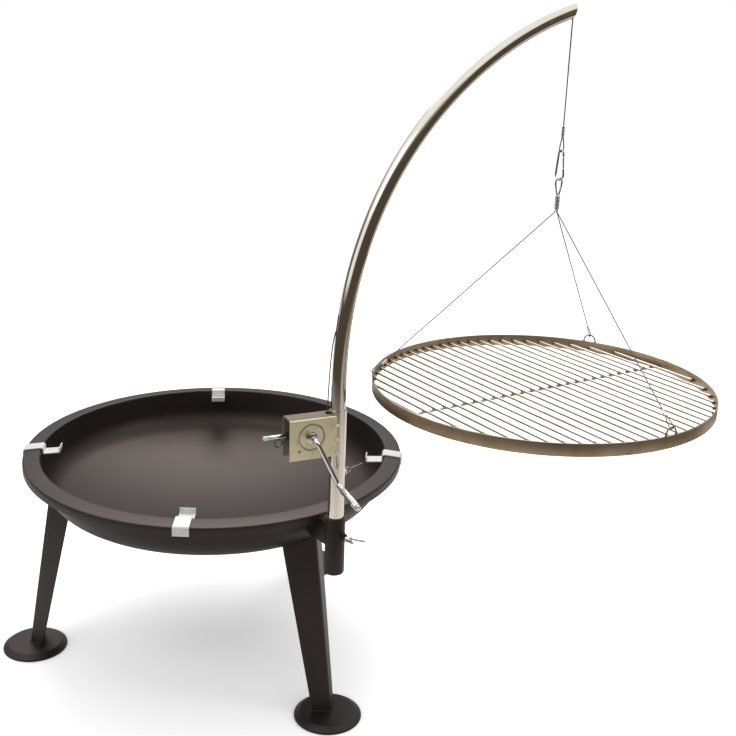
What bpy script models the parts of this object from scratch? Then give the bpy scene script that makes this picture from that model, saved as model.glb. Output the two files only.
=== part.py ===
"""Tripod swing grill: a dished fire bowl on three folded legs, a swing mast in a
socket beside it, and a round grate on a steel cable that a ratchet winch raises.

Units are metres and +Z is up. The object is laid out about the bowl's own axis,
and one empty then sets that layout about the middle of its footprint.
"""

import bpy
import bmesh
from math import acos, asin, atan2, cos, pi, radians, sin, sqrt, tan
from mathutils import Matrix, Vector

SEAT = 0.0003                # gap between pieces that touch

# Bowl: rim at the top, a short steep wall, and a shallow crown
BOWL_RADIUS = 0.400
RIM_Z = 0.455                # outer edge of the rim band
BAND_WIDTH = 0.0354
BAND_RISE = 0.003            # the band climbs towards its inner edge
BAND_OUTER_EDGE = 0.0048     # rounded edges of the band
BAND_INNER_EDGE = 0.0040
SKIRT_DROP = 0.018
BOWL_SHEET = 0.003
CROWN_RADIUS = 0.800
BOWL_BOTTOM_Z = 0.293
KNUCKLE_RADIUS = 0.065
WALL_SLOPE = radians(83)
BOWL_STEPS = 56

# Legs and feet
LEG_ANGLES = [radians(a) for a in (-48.3, 60.4, 191.7)]
LEG_SHEET = 0.003
LEG_FACE_BOTTOM = 0.039
LEG_FACE_TOP = 0.073
LEG_FOLD_BOTTOM = 0.4115     # radius of the fold at the foot
LEG_FOLD_TOP = 0.3475        # and at the height LEG_TOP_Z
LEG_TOP_Z = 0.400
FOOT_RADIUS = 0.068
FOOT_REACH = 0.399
FOOT_HEIGHT = 0.012

# Socket, mast and arm
MAST_ANGLE = radians(-51.4)
MAST_REACH = 0.436
ARM_ANGLE = radians(25.5)    # direction that the arm points in
SOCKET_BOTTOM_Z = 0.345
SOCKET_TOP_Z = 0.461
SOCKET_RADIUS = 0.01875
SOCKET_BORE = 0.0160
SOCKET_FLOOR = 0.005
TUBE_RADIUS = 0.0155
TUBE_BORE = 0.0140
TUBE_TOP_Z = 0.673
ARM_RADIUS = 0.0135
ARM_WALL = 0.0017
ARM_BOTTOM_Z = 0.470
ARM_BEND_Z = 0.720           # the arm is straight up to here
ARM_END = Vector((0.449, 0, 1.3774))
ARM_END_SLOPE = radians(74)  # from the vertical
ARM_HANDLES = (0.400, 0.200)  # lengths of the curve's lower and upper handle
ARM_CUT_X = 0.4330           # lower edge of the slanted end
ARM_CUT_SLANT = radians(7)
SLOT_Z = (0.812, 0.850)
SLOT_WIDTH = 0.0052

# Wing screws that clamp the mast in its socket and the arm in the mast
SCREW_RADIUS = 0.0040
SOCKET_SCREW_Z = 0.4237
SOCKET_SCREW_ANGLE = radians(-35)
SOCKET_SCREW_ROLL = radians(75)   # of the wings, from upright
MAST_SCREW_Z = 0.5455
MAST_SCREW_ANGLE = radians(26)
MAST_SCREW_ROLL = radians(56)
NUT_HEIGHT = 0.0065
NUT_RADIUS = 0.0075

# Winch, in the mast's frame: +X along the arm, -Y towards the crank
HUB = Vector((-0.0565, 0, 0.631))
PLATE_LEFT = -0.0985
PLATE_RIGHT = -0.0020
PLATE_BOTTOM = 0.589
PLATE_TOP = 0.6665
PLATE_FRONT = -0.0140
PLATE_BACK = 0.0210
PLATE_SHEET = 0.0025
SHAFT_RADIUS = 0.0050
DRUM_HALF = 0.0100
DRUM_CORE = 0.0215
DRUM_FLANGE = 0.0275
FLANGE_SHEET = 0.0015
WRAPS = 3.5                  # turns that go round with the drum
WRAP_PITCH = 0.0030
TEETH = 16
TOOTH_TIP = 0.0265
TOOTH_ROOT = 0.0222
WHEEL_Y = (0.0112, 0.0152)
GUIDE = Vector((-0.0251, 0, 0.6575))
GUIDE_RADIUS = 0.0050
PAWL_PIVOT = Vector((-0.0230, 0, -0.0250))   # from the hub
PAWL_PIN = 0.0030
LEVER_START = -0.0385         # from the hub, the pawl's left edge
LEVER_LIFT = -0.0020
LEVER_END = -0.0825
LEVER_RADIUS = 0.0038

# Crank, a bent rod with a turning sleeve
CRANK_RADIUS = 0.0045
CRANK_STUB = 0.0135
CRANK_ARM = Vector((0.0384, -0.0105, -0.0836))
CRANK_HANDLE = Vector((0.0079, -0.0692, -0.0172))
CRANK_BEND = 0.0080
GRIP_RADIUS = 0.0064
GRIP_LENGTH = 0.052

# Hoist cable and the hook under it
CABLE_RADIUS = 0.00125
REACH = MAST_REACH           # so the grate hangs over the bowl when swung in
DROP_TOP_Z = 1.3507
FERRULE_Z = (1.151, 1.171)
FERRULE_RADIUS = 0.0035
EYE_HALF = 0.0050
EYE_BOTTOM_Z = 1.1243
HOOK_WIRE = 0.0020
HOOK_HALF_TOP = 0.0060
HOOK_HALF_BOTTOM = 0.0100
HOOK_BOTTOM_Z = 1.0730
EYE_ANGLE = radians(35)      # directions that the loops spread in, seen from above
HOOK_ANGLE = radians(-55)
THIMBLE_WIRE = 0.00175
THIMBLE_HALF = 0.0078
SLEEVE_Z = (1.0185, 1.0440)
SLEEVE_RADIUS = 0.0050

WRAP_RADIUS = DRUM_CORE + CABLE_RADIUS + SEAT      # of the cable's centre on the drum
GUIDE_PATH = GUIDE_RADIUS + CABLE_RADIUS + SEAT    # and round the guide pin

# Grate
GRATE_ANGLE = radians(33.7)  # direction of the rod under the bars
GRATE_RADIUS = 0.334
GRATE_TOP_Z = 0.6785
BAND_HEIGHT = 0.024
BAND_SHEET = 0.003
BAND_STEPS = 64
BARS = 27
BAR_PITCH = 0.0238
BAR_RADIUS = 0.0025
BAR_DROP = 0.012             # bars' centres below the band's top edge
WELD_SINK = 0.0004           # how far the rod under the bars is melted into them
EYELET_ANGLES = [radians(30 + 120 * k) for k in range(3)]
EYELET_WIRE = 0.0016
EYELET_HALF = 0.0125
EYELET_HEIGHT = 0.0145
BRIDLE_RADIUS = 0.0011

# Clips that hold the grate inside the rim
CLIP_ANGLES = [radians(a) for a in (-91, -2, 97, 186.5)]
CLIP_WIDTH = 0.031
CLIP_SHEET = 0.0025
CLIP_SHELF_Z = 0.4440
CLIP_SHELF_R = 0.3250
CLIP_TAB = 0.0120


def clear_objects():
    for item in list(bpy.data.objects):
        bpy.data.objects.remove(item, do_unlink=True)


def new_collection(name):
    group = bpy.data.collections.new(name)
    bpy.context.scene.collection.children.link(group)
    return group


clear_objects()
PARTS = new_collection("tripod_swing_grill")
CUTTERS = new_collection("cutters")


def finish(name, colour, roughness, metallic):
    made = bpy.data.materials.new(name)
    made.use_nodes = True
    shader = made.node_tree.nodes["Principled BSDF"]
    shader.inputs["Base Color"].default_value = (*colour, 1)
    shader.inputs["Roughness"].default_value = roughness
    shader.inputs["Metallic"].default_value = metallic
    return made


BLACK = finish("heat_paint", (0.030, 0.026, 0.024), 0.50, 0.0)
STAINLESS = finish("polished_stainless", (0.60, 0.55, 0.47), 0.16, 1.0)
BRIGHT = finish("bright_steel", (0.78, 0.78, 0.77), 0.22, 1.0)
ZINC = finish("yellow_zinc", (0.58, 0.50, 0.33), 0.38, 0.9)
DARK_STEEL = finish("dark_steel", (0.16, 0.15, 0.14), 0.40, 0.9)
GRATE_STEEL = finish("grate_stainless", (0.36, 0.30, 0.22), 0.32, 1.0)
WIRE = finish("steel_cable", (0.50, 0.50, 0.49), 0.35, 1.0)


def empty(name, parent=None, location=(0, 0, 0), rotation=(0, 0, 0)):
    item = bpy.data.objects.new(name, None)
    item.location = location
    item.rotation_euler = rotation
    item.parent = parent
    PARTS.objects.link(item)
    return item


def linked(name, data):
    item = bpy.data.objects.new(name, data)
    PARTS.objects.link(item)
    return item


def frozen(item, smooth=radians(35)):
    """Swap a curve, or an object with modifiers, for the mesh that it makes."""
    graph = bpy.context.evaluated_depsgraph_get()
    mesh = bpy.data.meshes.new_from_object(item.evaluated_get(graph))
    work = bmesh.new()
    work.from_mesh(mesh)
    bmesh.ops.remove_doubles(work, verts=work.verts, dist=1e-6)
    work.to_mesh(mesh)
    work.free()
    mesh.shade_smooth()
    mesh.set_sharp_from_angle(angle=smooth)
    solid = linked(item.name, mesh)
    solid.matrix_world = item.matrix_world
    name = item.name
    bpy.data.objects.remove(item, do_unlink=True)
    solid.name = name
    return solid


def set_in(item, material, parent, location=(0, 0, 0), rotation=(0, 0, 0)):
    """Give a piece its material and its place in its parent's frame."""
    item.data.materials.clear()
    item.data.materials.append(material)
    item.parent = parent
    item.location = location
    item.rotation_euler = rotation
    return item


def copy_of(item, name):
    return linked(name, item.data)


def cut(item, cutter, operation="DIFFERENCE"):
    """Cut or join item with cutter, which is kept as a hidden wire guide."""
    step = item.modifiers.new(cutter.name, "BOOLEAN")
    step.operation = operation
    step.solver = "EXACT"
    step.object = cutter
    if cutter.name not in CUTTERS.objects:
        for group in cutter.users_collection:
            group.objects.unlink(cutter)
        CUTTERS.objects.link(cutter)
    cutter.hide_render = True
    cutter.display_type = "WIRE"


def turned(name, profile, steps=24, closed=False):
    """Turn an (r, z) profile about Z. It runs down its outer side, top to bottom."""
    points = [(r, 0, z) for r, z in profile]
    edges = [(i, i + 1) for i in range(len(points) - 1)]
    if closed:
        edges.append((len(points) - 1, 0))
    mesh = bpy.data.meshes.new(name)
    mesh.from_pydata(points, edges, [])
    item = linked(name, mesh)
    screw = item.modifiers.new("Turn", "SCREW")
    screw.angle = 2 * pi
    screw.steps = steps
    screw.render_steps = steps
    screw.use_merge_vertices = True
    screw.merge_threshold = 1e-5
    screw.use_smooth_shade = True
    return item


def collar(name, outer, bore, low, high, steps=24):
    """A plain ring or tube between two heights."""
    profile = [(outer, high), (outer, low), (bore, low), (bore, high)]
    return frozen(turned(name, profile, steps, closed=True))


def pin(name, radius, low, high, steps=16):
    return frozen(turned(name, [(0, high), (radius, high), (radius, low), (0, low)], steps))


def wire(name, points, radius, resolution=2, cyclic=False):
    """A round wire or tube along a list of points, with filled ends."""
    curve = bpy.data.curves.new(name, "CURVE")
    curve.dimensions = "3D"
    curve.bevel_depth = radius
    curve.bevel_resolution = resolution
    curve.use_fill_caps = not cyclic
    line = curve.splines.new("POLY")
    line.points.add(len(points) - 1)
    for spot, point in zip(line.points, points):
        spot.co = (*point, 1)
    line.use_cyclic_u = cyclic
    return frozen(linked(name, curve))


def plate(name, outline, thickness, holes=()):
    """A flat outline in XY with round holes, given as (x, y, radius, points)."""
    curve = bpy.data.curves.new(name, "CURVE")
    curve.dimensions = "2D"
    curve.fill_mode = "BOTH"
    curve.extrude = thickness / 2
    rings = [outline]
    for x, y, radius, count in holes:
        turns = [2 * pi * k / count for k in range(count)]
        rings.append([(x + radius * cos(a), y + radius * sin(a)) for a in turns])
    for ring in rings:
        line = curve.splines.new("POLY")
        line.points.add(len(ring) - 1)
        for spot, (x, y) in zip(line.points, ring):
            spot.co = (x, y, 0, 1)
        line.use_cyclic_u = True
    return frozen(linked(name, curve))


def rounded(points, radius, steps=3):
    """The route through points with an arc of the given radius at each corner."""
    points = [Vector(p) for p in points]
    route = [points[0]]
    for before, corner, after in zip(points, points[1:], points[2:]):
        a = (before - corner).normalized()
        b = (after - corner).normalized()
        half = acos(max(-1.0, min(1.0, a.dot(b)))) / 2
        centre = corner + (a + b).normalized() * radius / sin(half)
        start = corner + a * radius / tan(half) - centre
        end = corner + b * radius / tan(half) - centre
        sweep = pi - 2 * half
        for k in range(steps + 1):
            t = k / steps
            spoke = start * sin((1 - t) * sweep) + end * sin(t * sweep)
            route.append(centre + spoke / sin(sweep))
    route.append(points[-1])
    return route


def smooth_route(points, steps):
    """Points along a smooth curve through the given ones."""
    points = [Vector(p) for p in points]
    padded = [2 * points[0] - points[1], *points, 2 * points[-1] - points[-2]]
    route = []
    for p0, p1, p2, p3 in zip(padded, padded[1:], padded[2:], padded[3:]):
        for k in range(steps):
            t = k / steps
            route.append(0.5 * (2 * p1 + (p2 - p0) * t + (2 * p0 - 5 * p1 + 4 * p2 - p3) * t * t
                                + (3 * p1 - p0 - 3 * p2 + p3) * t ** 3))
    route.append(points[-1])
    return route


def strip(name, path, width, thickness):
    """A bent strip of sheet: path lies in XZ, and the sheet goes on its right side."""
    verts = [(p.x, side * width / 2, p.z) for p in path for side in (-1, 1)]
    faces = [(2 * k, 2 * k + 1, 2 * k + 3, 2 * k + 2) for k in range(len(path) - 1)]
    mesh = bpy.data.meshes.new(name)
    mesh.from_pydata(verts, [], faces)
    item = linked(name, mesh)
    shell = item.modifiers.new("Sheet", "SOLIDIFY")
    shell.thickness = thickness
    shell.offset = 1
    shell.use_even_offset = True
    return frozen(item)


def polar(radius, angle, z=0.0):
    return Vector((radius * cos(angle), radius * sin(angle), z))


# Frames. The footprint runs from the left foot to the grate's right side, and
# from the grate's front to the rear foot.
mast_spot = polar(MAST_REACH, MAST_ANGLE)
grate_spot = mast_spot + polar(REACH, ARM_ANGLE)
feet = [polar(FOOT_REACH, angle) for angle in LEG_ANGLES]
middle_x = (grate_spot.x + GRATE_RADIUS + min(f.x for f in feet) - FOOT_RADIUS) / 2
middle_y = (grate_spot.y - GRATE_RADIUS + max(f.y for f in feet) + FOOT_RADIUS) / 2

base = empty("bowl_axis", location=(-middle_x, -middle_y, 0))
mast = empty("mast_axis", base, mast_spot, (0, 0, ARM_ANGLE))
hang = empty("hang_axis", mast, (REACH, 0, 0))
grate = empty("grate_axis", hang, rotation=(0, 0, GRATE_ANGLE - ARM_ANGLE))


def bowl_surface(offset):
    """Points (r, z) of the bowl's inner face, from the axis to the top of its wall.

    An offset moves the face outwards, so BOWL_SHEET gives the underside.
    """
    inner_top = BOWL_RADIUS - BAND_WIDTH
    crown = CROWN_RADIUS - BOWL_SHEET
    knuckle = KNUCKLE_RADIUS - BOWL_SHEET
    centre_z = BOWL_BOTTOM_Z + CROWN_RADIUS
    # The wall is a straight line above the knuckle, and both meet without a corner
    wall_height = 0.043
    wall_foot = inner_top - wall_height / tan(WALL_SLOPE)
    crown_angle = asin((wall_foot - knuckle * sin(WALL_SLOPE)) / (crown - knuckle))
    bend_r = (crown - knuckle) * sin(crown_angle)
    bend_z = centre_z - (crown - knuckle) * cos(crown_angle)
    points = []
    for k in range(6):
        a = crown_angle * k / 6
        points.append(((crown + offset) * sin(a), centre_z - (crown + offset) * cos(a)))
    for k in range(5):
        a = crown_angle + (WALL_SLOPE - crown_angle) * k / 4
        points.append((bend_r + (knuckle + offset) * sin(a), bend_z - (knuckle + offset) * cos(a)))
    last_r, last_z = points[-1]
    top_z = RIM_Z + BAND_RISE - 0.004
    points.append((last_r + (top_z - last_z) / tan(WALL_SLOPE), top_z))
    return points


def build_bowl():
    inner = BOWL_RADIUS - BAND_WIDTH
    profile = bowl_surface(0)
    profile += [(inner + 0.0012, RIM_Z + BAND_RISE - 0.0008)]
    profile += [(inner + BAND_INNER_EDGE, RIM_Z + BAND_RISE), (BOWL_RADIUS - BAND_OUTER_EDGE, RIM_Z)]
    profile += [(BOWL_RADIUS - 0.0012, RIM_Z - 0.0014), (BOWL_RADIUS, RIM_Z - BAND_OUTER_EDGE)]
    profile += [(BOWL_RADIUS, RIM_Z - SKIRT_DROP)]
    bowl = turned("bowl", profile, BOWL_STEPS)
    shell = bowl.modifiers.new("Sheet", "SOLIDIFY")
    shell.thickness = BOWL_SHEET
    shell.offset = -1
    shell.use_even_offset = True
    set_in(frozen(bowl, radians(40)), BLACK, base)


def build_bowl_clearance():
    """A plug as wide as the bowl's underside, to trim what stands against it."""
    under = bowl_surface(BOWL_SHEET + SEAT)
    profile = [(0, RIM_Z + 0.05), (under[-1][0], RIM_Z + 0.05), *reversed(under)]
    plug = frozen(turned("bowl_clearance", profile, BOWL_STEPS))
    plug.parent = base
    return plug


def leg_section(face, fold_radius=0.006):
    """Half-width points of a right-angled fold that points along +X."""
    reach = face / sqrt(2)
    centre = -fold_radius * sqrt(2)
    points = [(-reach, -reach)]
    for a in (-45, -15, 15, 45):
        points.append((centre + fold_radius * cos(radians(a)), fold_radius * sin(radians(a))))
    points.append((-reach, reach))
    return points


def build_legs(plug):
    low = [(LEG_FOLD_BOTTOM + x, y, FOOT_HEIGHT - 0.002) for x, y in leg_section(LEG_FACE_BOTTOM)]
    high = [(LEG_FOLD_TOP + x, y, LEG_TOP_Z) for x, y in leg_section(LEG_FACE_TOP)]
    count = len(low)
    faces = [(k, k + 1, count + k + 1, count + k) for k in range(count - 1)]
    mesh = bpy.data.meshes.new("leg")
    mesh.from_pydata(low + high, [], faces)
    sheet = linked("leg_sheet", mesh)
    shell = sheet.modifiers.new("Sheet", "SOLIDIFY")
    shell.thickness = LEG_SHEET
    shell.offset = -1
    shell.use_even_offset = True
    sheet = frozen(sheet)
    ground = pin("foot_clearance", 0.5, -0.02, FOOT_HEIGHT + SEAT, 32)
    ground.parent = base
    for number, angle in enumerate(LEG_ANGLES, 1):
        leg = copy_of(sheet, f"leg_{number}")
        set_in(leg, BLACK, base, rotation=(0, 0, angle))
        cut(leg, plug)
        cut(leg, ground)
    bpy.data.objects.remove(sheet)


def build_feet():
    profile = [(0, FOOT_HEIGHT), (0.0540, FOOT_HEIGHT), (0.0570, FOOT_HEIGHT - 0.0008)]
    profile += [(FOOT_RADIUS - 0.0015, 0.0050), (FOOT_RADIUS, 0.0030), (FOOT_RADIUS, 0), (0, 0)]
    first = frozen(turned("foot_plate_1", profile, 32))
    set_in(first, BLACK, base, feet[0])
    for number in (2, 3):
        set_in(copy_of(first, f"foot_plate_{number}"), BLACK, base, feet[number - 1])


def build_socket(plug):
    floor = SOCKET_BOTTOM_Z + SOCKET_FLOOR
    profile = [(0, floor), (SOCKET_BORE, floor), (SOCKET_BORE, SOCKET_TOP_Z - 0.0008)]
    profile += [(SOCKET_BORE + 0.0008, SOCKET_TOP_Z), (SOCKET_RADIUS - 0.0008, SOCKET_TOP_Z)]
    profile += [(SOCKET_RADIUS, SOCKET_TOP_Z - 0.0008), (SOCKET_RADIUS, SOCKET_BOTTOM_Z + 0.005)]
    profile += [(SOCKET_RADIUS - 0.0015, SOCKET_BOTTOM_Z + 0.0015)]
    profile += [(SOCKET_RADIUS - 0.0050, SOCKET_BOTTOM_Z), (0, SOCKET_BOTTOM_Z)]
    socket = frozen(turned("mast_socket", profile, 28))
    set_in(socket, BLACK, base, mast_spot)
    hole = pin("socket_hole", SCREW_RADIUS + SEAT, 0.006, 0.030)
    set_in(hole, BLACK, base, mast_spot + Vector((0, 0, SOCKET_SCREW_Z)),
           (0, pi / 2, SOCKET_SCREW_ANGLE))
    cut(socket, hole)

    # The web between the bowl and the socket, upright on the line through both
    edge = MAST_REACH - SOCKET_RADIUS - SEAT
    outline = [(0.340, 0.392), (edge, 0.392), (edge, 0.4335), (0.340, 0.4335)]
    web = plate("socket_bracket", outline, 0.005)
    set_in(web, BLACK, base, rotation=(pi / 2, 0, MAST_ANGLE))
    cut(web, plug)


def build_nut(name, spot, angle, start):
    hexagon = [(NUT_RADIUS * cos(k * pi / 3), NUT_RADIUS * sin(k * pi / 3)) for k in range(6)]
    nut = plate(name, hexagon, NUT_HEIGHT, [(0, 0, SCREW_RADIUS + SEAT, 12)])
    out = polar(start + NUT_HEIGHT / 2, angle)
    return nut, spot + out, (0, pi / 2, angle)


def wing_screw_mesh():
    """A wing screw along +Z: its tip at the origin, its hub and wings at the top."""
    profile = [(0, 0.0215), (0.0046, 0.0215), (0.0056, 0.0205), (0.0070, 0.0125),
               (0.0064, 0.0117), (SCREW_RADIUS, 0.0117), (SCREW_RADIUS, 0.0008),
               (SCREW_RADIUS - 0.0008, 0), (0, 0)]
    screw = frozen(turned("wing_screw", profile, 16))
    right = [(0.0020, 0.0135), (0.0075, 0.0150), (0.0120, 0.0225), (0.0165, 0.0300),
             (0.0215, 0.0330), (0.0228, 0.0368), (0.0200, 0.0400), (0.0150, 0.0385),
             (0.0105, 0.0320), (0.0060, 0.0235), (0.0020, 0.0205)]
    for number, side in enumerate((1, -1), 1):
        wing = plate(f"wing_{number}", [(side * x, z) for x, z in right], 0.0026)
        wing.rotation_euler = (pi / 2, 0, 0)
        cut(screw, wing, "UNION")
    return frozen(screw)


def screw_turn(angle, roll):
    """The rotation that lays a wing screw level along angle, its wings rolled from upright."""
    upright = Matrix.Rotation(roll, 3, "X") @ Matrix.Rotation(pi / 2, 3, "Y")
    return (Matrix.Rotation(angle, 3, "Z") @ upright).to_euler()


def build_screws():
    screw = wing_screw_mesh()
    inset = TUBE_RADIUS + SEAT
    nut, spot, turn = build_nut("socket_nut", mast_spot + Vector((0, 0, SOCKET_SCREW_Z)),
                                SOCKET_SCREW_ANGLE, SOCKET_RADIUS + SEAT)
    set_in(nut, BLACK, base, spot, turn)
    place = mast_spot + polar(inset, SOCKET_SCREW_ANGLE, SOCKET_SCREW_Z)
    socket_screw = set_in(screw, BRIGHT, base, place)
    socket_screw.name = "socket_wing_screw"
    socket_screw.rotation_euler = screw_turn(SOCKET_SCREW_ANGLE, SOCKET_SCREW_ROLL)

    nut, spot, turn = build_nut("mast_nut", Vector((0, 0, MAST_SCREW_Z)), MAST_SCREW_ANGLE,
                                TUBE_RADIUS + SEAT)
    set_in(nut, STAINLESS, mast, spot, turn)
    place = polar(ARM_RADIUS + SEAT, MAST_SCREW_ANGLE, MAST_SCREW_Z)
    mast_screw = set_in(copy_of(socket_screw, "mast_wing_screw"), BRIGHT, mast, place)
    mast_screw.rotation_euler = screw_turn(MAST_SCREW_ANGLE, MAST_SCREW_ROLL)


def arm_point(t):
    """The arm's centre line above ARM_BEND_Z, as a cubic curve with t from 0 to 1."""
    start = Vector((0, 0, ARM_BEND_Z))
    lead = start + Vector((0, 0, ARM_HANDLES[0]))
    tail = ARM_END - ARM_HANDLES[1] * Vector((sin(ARM_END_SLOPE), 0, cos(ARM_END_SLOPE)))
    s = 1 - t
    return s ** 3 * start + 3 * s * s * t * lead + 3 * s * t * t * tail + t ** 3 * ARM_END


def build_mast():
    low = SOCKET_BOTTOM_Z + SOCKET_FLOOR + SEAT
    tube = collar("lower_mast_tube", TUBE_RADIUS, TUBE_BORE, low, TUBE_TOP_Z, 28)
    set_in(tube, STAINLESS, mast)
    hole = pin("mast_hole", SCREW_RADIUS + SEAT, 0.006, 0.030)
    set_in(hole, BLACK, mast, (0, 0, MAST_SCREW_Z), (0, pi / 2, MAST_SCREW_ANGLE))
    cut(tube, hole)

    route = [Vector((0, 0, ARM_BOTTOM_Z))] + [arm_point(k / 30) for k in range(31)]
    curve = bpy.data.curves.new("curved_arm", "CURVE")
    curve.dimensions = "3D"
    curve.bevel_depth = ARM_RADIUS
    curve.bevel_resolution = 5
    line = curve.splines.new("POLY")
    line.points.add(len(route) - 1)
    for spot, point in zip(line.points, route):
        spot.co = (*point, 1)
    arm = linked("curved_arm", curve)
    shell = arm.modifiers.new("Wall", "SOLIDIFY")
    shell.thickness = ARM_WALL
    shell.offset = -1
    arm = set_in(frozen(arm), STAINLESS, mast)

    # The cable's slot in the back of the arm, with round ends
    low, high = SLOT_Z
    half = SLOT_WIDTH / 2
    arc = [k * pi / 6 for k in range(7)]
    outline = [(half * cos(a), high - half + half * sin(a)) for a in arc]
    outline += [(-half * cos(a), low + half - half * sin(a)) for a in arc]
    slot = plate("arm_slot", outline, 0.012)
    set_in(slot, BLACK, mast, (-0.0055, 0, 0), (pi / 2, 0, pi / 2))
    cut(arm, slot)

    # The slanted saw cut at the arm's end
    bpy.ops.mesh.primitive_cube_add(size=0.12)
    block = bpy.context.object
    block.name = "arm_end_cut"
    lean = Vector((cos(ARM_CUT_SLANT), 0, -sin(ARM_CUT_SLANT)))
    set_in(block, BLACK, mast, Vector((ARM_CUT_X, 0, 1.3580)) + lean * 0.06,
           (0, ARM_CUT_SLANT, 0))
    cut(arm, block)


def channel_outline():
    """The winch housing's outer face across the channel, front to back, in XZ."""
    corners = [(PLATE_FRONT, 0, PLATE_BOTTOM), (PLATE_FRONT, 0, PLATE_TOP),
               (PLATE_BACK, 0, PLATE_TOP), (PLATE_BACK, 0, PLATE_BOTTOM)]
    return rounded(corners, 0.0045)


def across(name, radius, low, high, spot, steps=16):
    """A guide or pin along the winch's axis direction, from y = low to y = high."""
    item = pin(name, radius, low, high, steps)
    return item, Vector((spot.x, 0, spot.z)), (-pi / 2, 0, 0)


def build_housing():
    width = PLATE_RIGHT - PLATE_LEFT
    housing = strip("winch_housing", channel_outline(), width, PLATE_SHEET)
    set_in(housing, ZINC, mast, ((PLATE_LEFT + PLATE_RIGHT) / 2, 0, 0), (0, 0, pi / 2))

    trim = pin("tube_clearance", TUBE_RADIUS + SEAT, 0.55, 0.70, 28)
    set_in(trim, BLACK, mast)
    cut(housing, trim)
    holes = [("shaft_holes", SHAFT_RADIUS + 0.0004, HUB), ("pawl_holes", PAWL_PIN + SEAT, HUB + PAWL_PIVOT)]
    for name, radius, spot in holes:
        item, place, turn = across(name, radius, -0.03, 0.04, spot)
        set_in(item, BLACK, mast, place, turn)
        cut(housing, item)
    item, place, turn = across("guide_hole", GUIDE_RADIUS + SEAT, 0.010, 0.040, GUIDE)
    set_in(item, BLACK, mast, place, turn)
    cut(housing, item)
    notch = plate("cable_notch", [(-0.0235, -0.002), (-0.0235, 0.012), (-0.004, 0.012),
                                  (-0.004, -0.002)], 0.02)
    set_in(notch, BLACK, mast, (0, 0, PLATE_TOP))
    cut(housing, notch)

    guide, place, turn = across("cable_guide_pin", GUIDE_RADIUS,
                                PLATE_FRONT + PLATE_SHEET + 0.0005, PLATE_BACK + 0.0010, GUIDE, 20)
    set_in(guide, BRIGHT, mast, place, turn)
    pivot, place, turn = across("pawl_pin", PAWL_PIN, PLATE_FRONT - 0.0006, PLATE_BACK + 0.0006,
                                HUB + PAWL_PIVOT)
    set_in(pivot, BRIGHT, mast, place, turn)


def build_winch():
    """The shaft with the drum, the ratchet wheel and the fasteners that turn with it."""
    crank = empty("crank_axis", mast, HUB)
    along_y = (-pi / 2, 0, 0)
    shaft = pin("winch_shaft", SHAFT_RADIUS, -0.0240, 0.0250, 20)
    set_in(shaft, BRIGHT, crank, rotation=along_y)
    bore = SHAFT_RADIUS + SEAT

    half = DRUM_HALF
    inner = half - FLANGE_SHEET
    profile = [(DRUM_FLANGE, half), (DRUM_FLANGE, inner), (DRUM_CORE, inner), (DRUM_CORE, -inner),
               (DRUM_FLANGE, -inner), (DRUM_FLANGE, -half), (bore, -half), (bore, half)]
    drum = frozen(turned("winch_drum", profile, 28, closed=True))
    set_in(drum, BRIGHT, crank, rotation=along_y)

    pitch = 2 * pi / TEETH
    saw = []
    for k in range(TEETH):
        face = pi + k * pitch
        saw.append((TOOTH_TIP * cos(face), TOOTH_TIP * sin(face)))
        saw.append((TOOTH_ROOT * cos(face + 0.002), TOOTH_ROOT * sin(face + 0.002)))
    wheel = plate("ratchet_wheel", saw, WHEEL_Y[1] - WHEEL_Y[0], [(0, 0, bore, 20)])
    set_in(wheel, DARK_STEEL, crank, (0, sum(WHEEL_Y) / 2, 0), (pi / 2, 0, 0))

    front = PLATE_FRONT - SEAT
    washer_sheet = 0.0015
    washer = collar("shaft_washer", 0.0105, bore, front - washer_sheet, front)
    set_in(washer, BRIGHT, crank, rotation=along_y)
    corner = 0.0170 / sqrt(3)         # 17 mm across the flats
    hexagon = [(corner * cos(k * pi / 3), corner * sin(k * pi / 3)) for k in range(6)]
    nut = plate("shaft_nut", hexagon, NUT_HEIGHT, [(0, 0, bore, 20)])
    place = (0, front - washer_sheet - SEAT - NUT_HEIGHT / 2, 0)
    set_in(nut, BRIGHT, crank, place, (pi / 2, 0, 0))
    retainer = collar("shaft_retainer", 0.0085, bore, PLATE_BACK + SEAT, PLATE_BACK + 0.0023)
    set_in(retainer, BRIGHT, crank, rotation=along_y)
    return crank


def winding_points():
    """The cable that turns with the drum, in the hub's frame: a helix and a straight end.

    It leaves the last pitch of the drum free for the run's own part-turn, which
    stays still with the mast.
    """
    lift = (HUB - GUIDE).length
    lean = acos((WRAP_RADIUS - GUIDE_PATH) / lift)
    leave = atan2(GUIDE.z - HUB.z, GUIDE.x - HUB.x) - lean
    count = round(24 * WRAPS)
    points = []
    for k in range(count + 1):
        a = leave - 2 * pi * (count - k) / 24
        y = WRAP_PITCH * (k / 24 - (WRAPS + 1) / 2)
        points.append(Vector((WRAP_RADIUS * cos(a), y, WRAP_RADIUS * sin(a))))
    away = Vector((-sin(leave), 0, cos(leave)))
    points.append(points[-1] + away * 2 * CABLE_RADIUS)
    return points, leave


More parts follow.
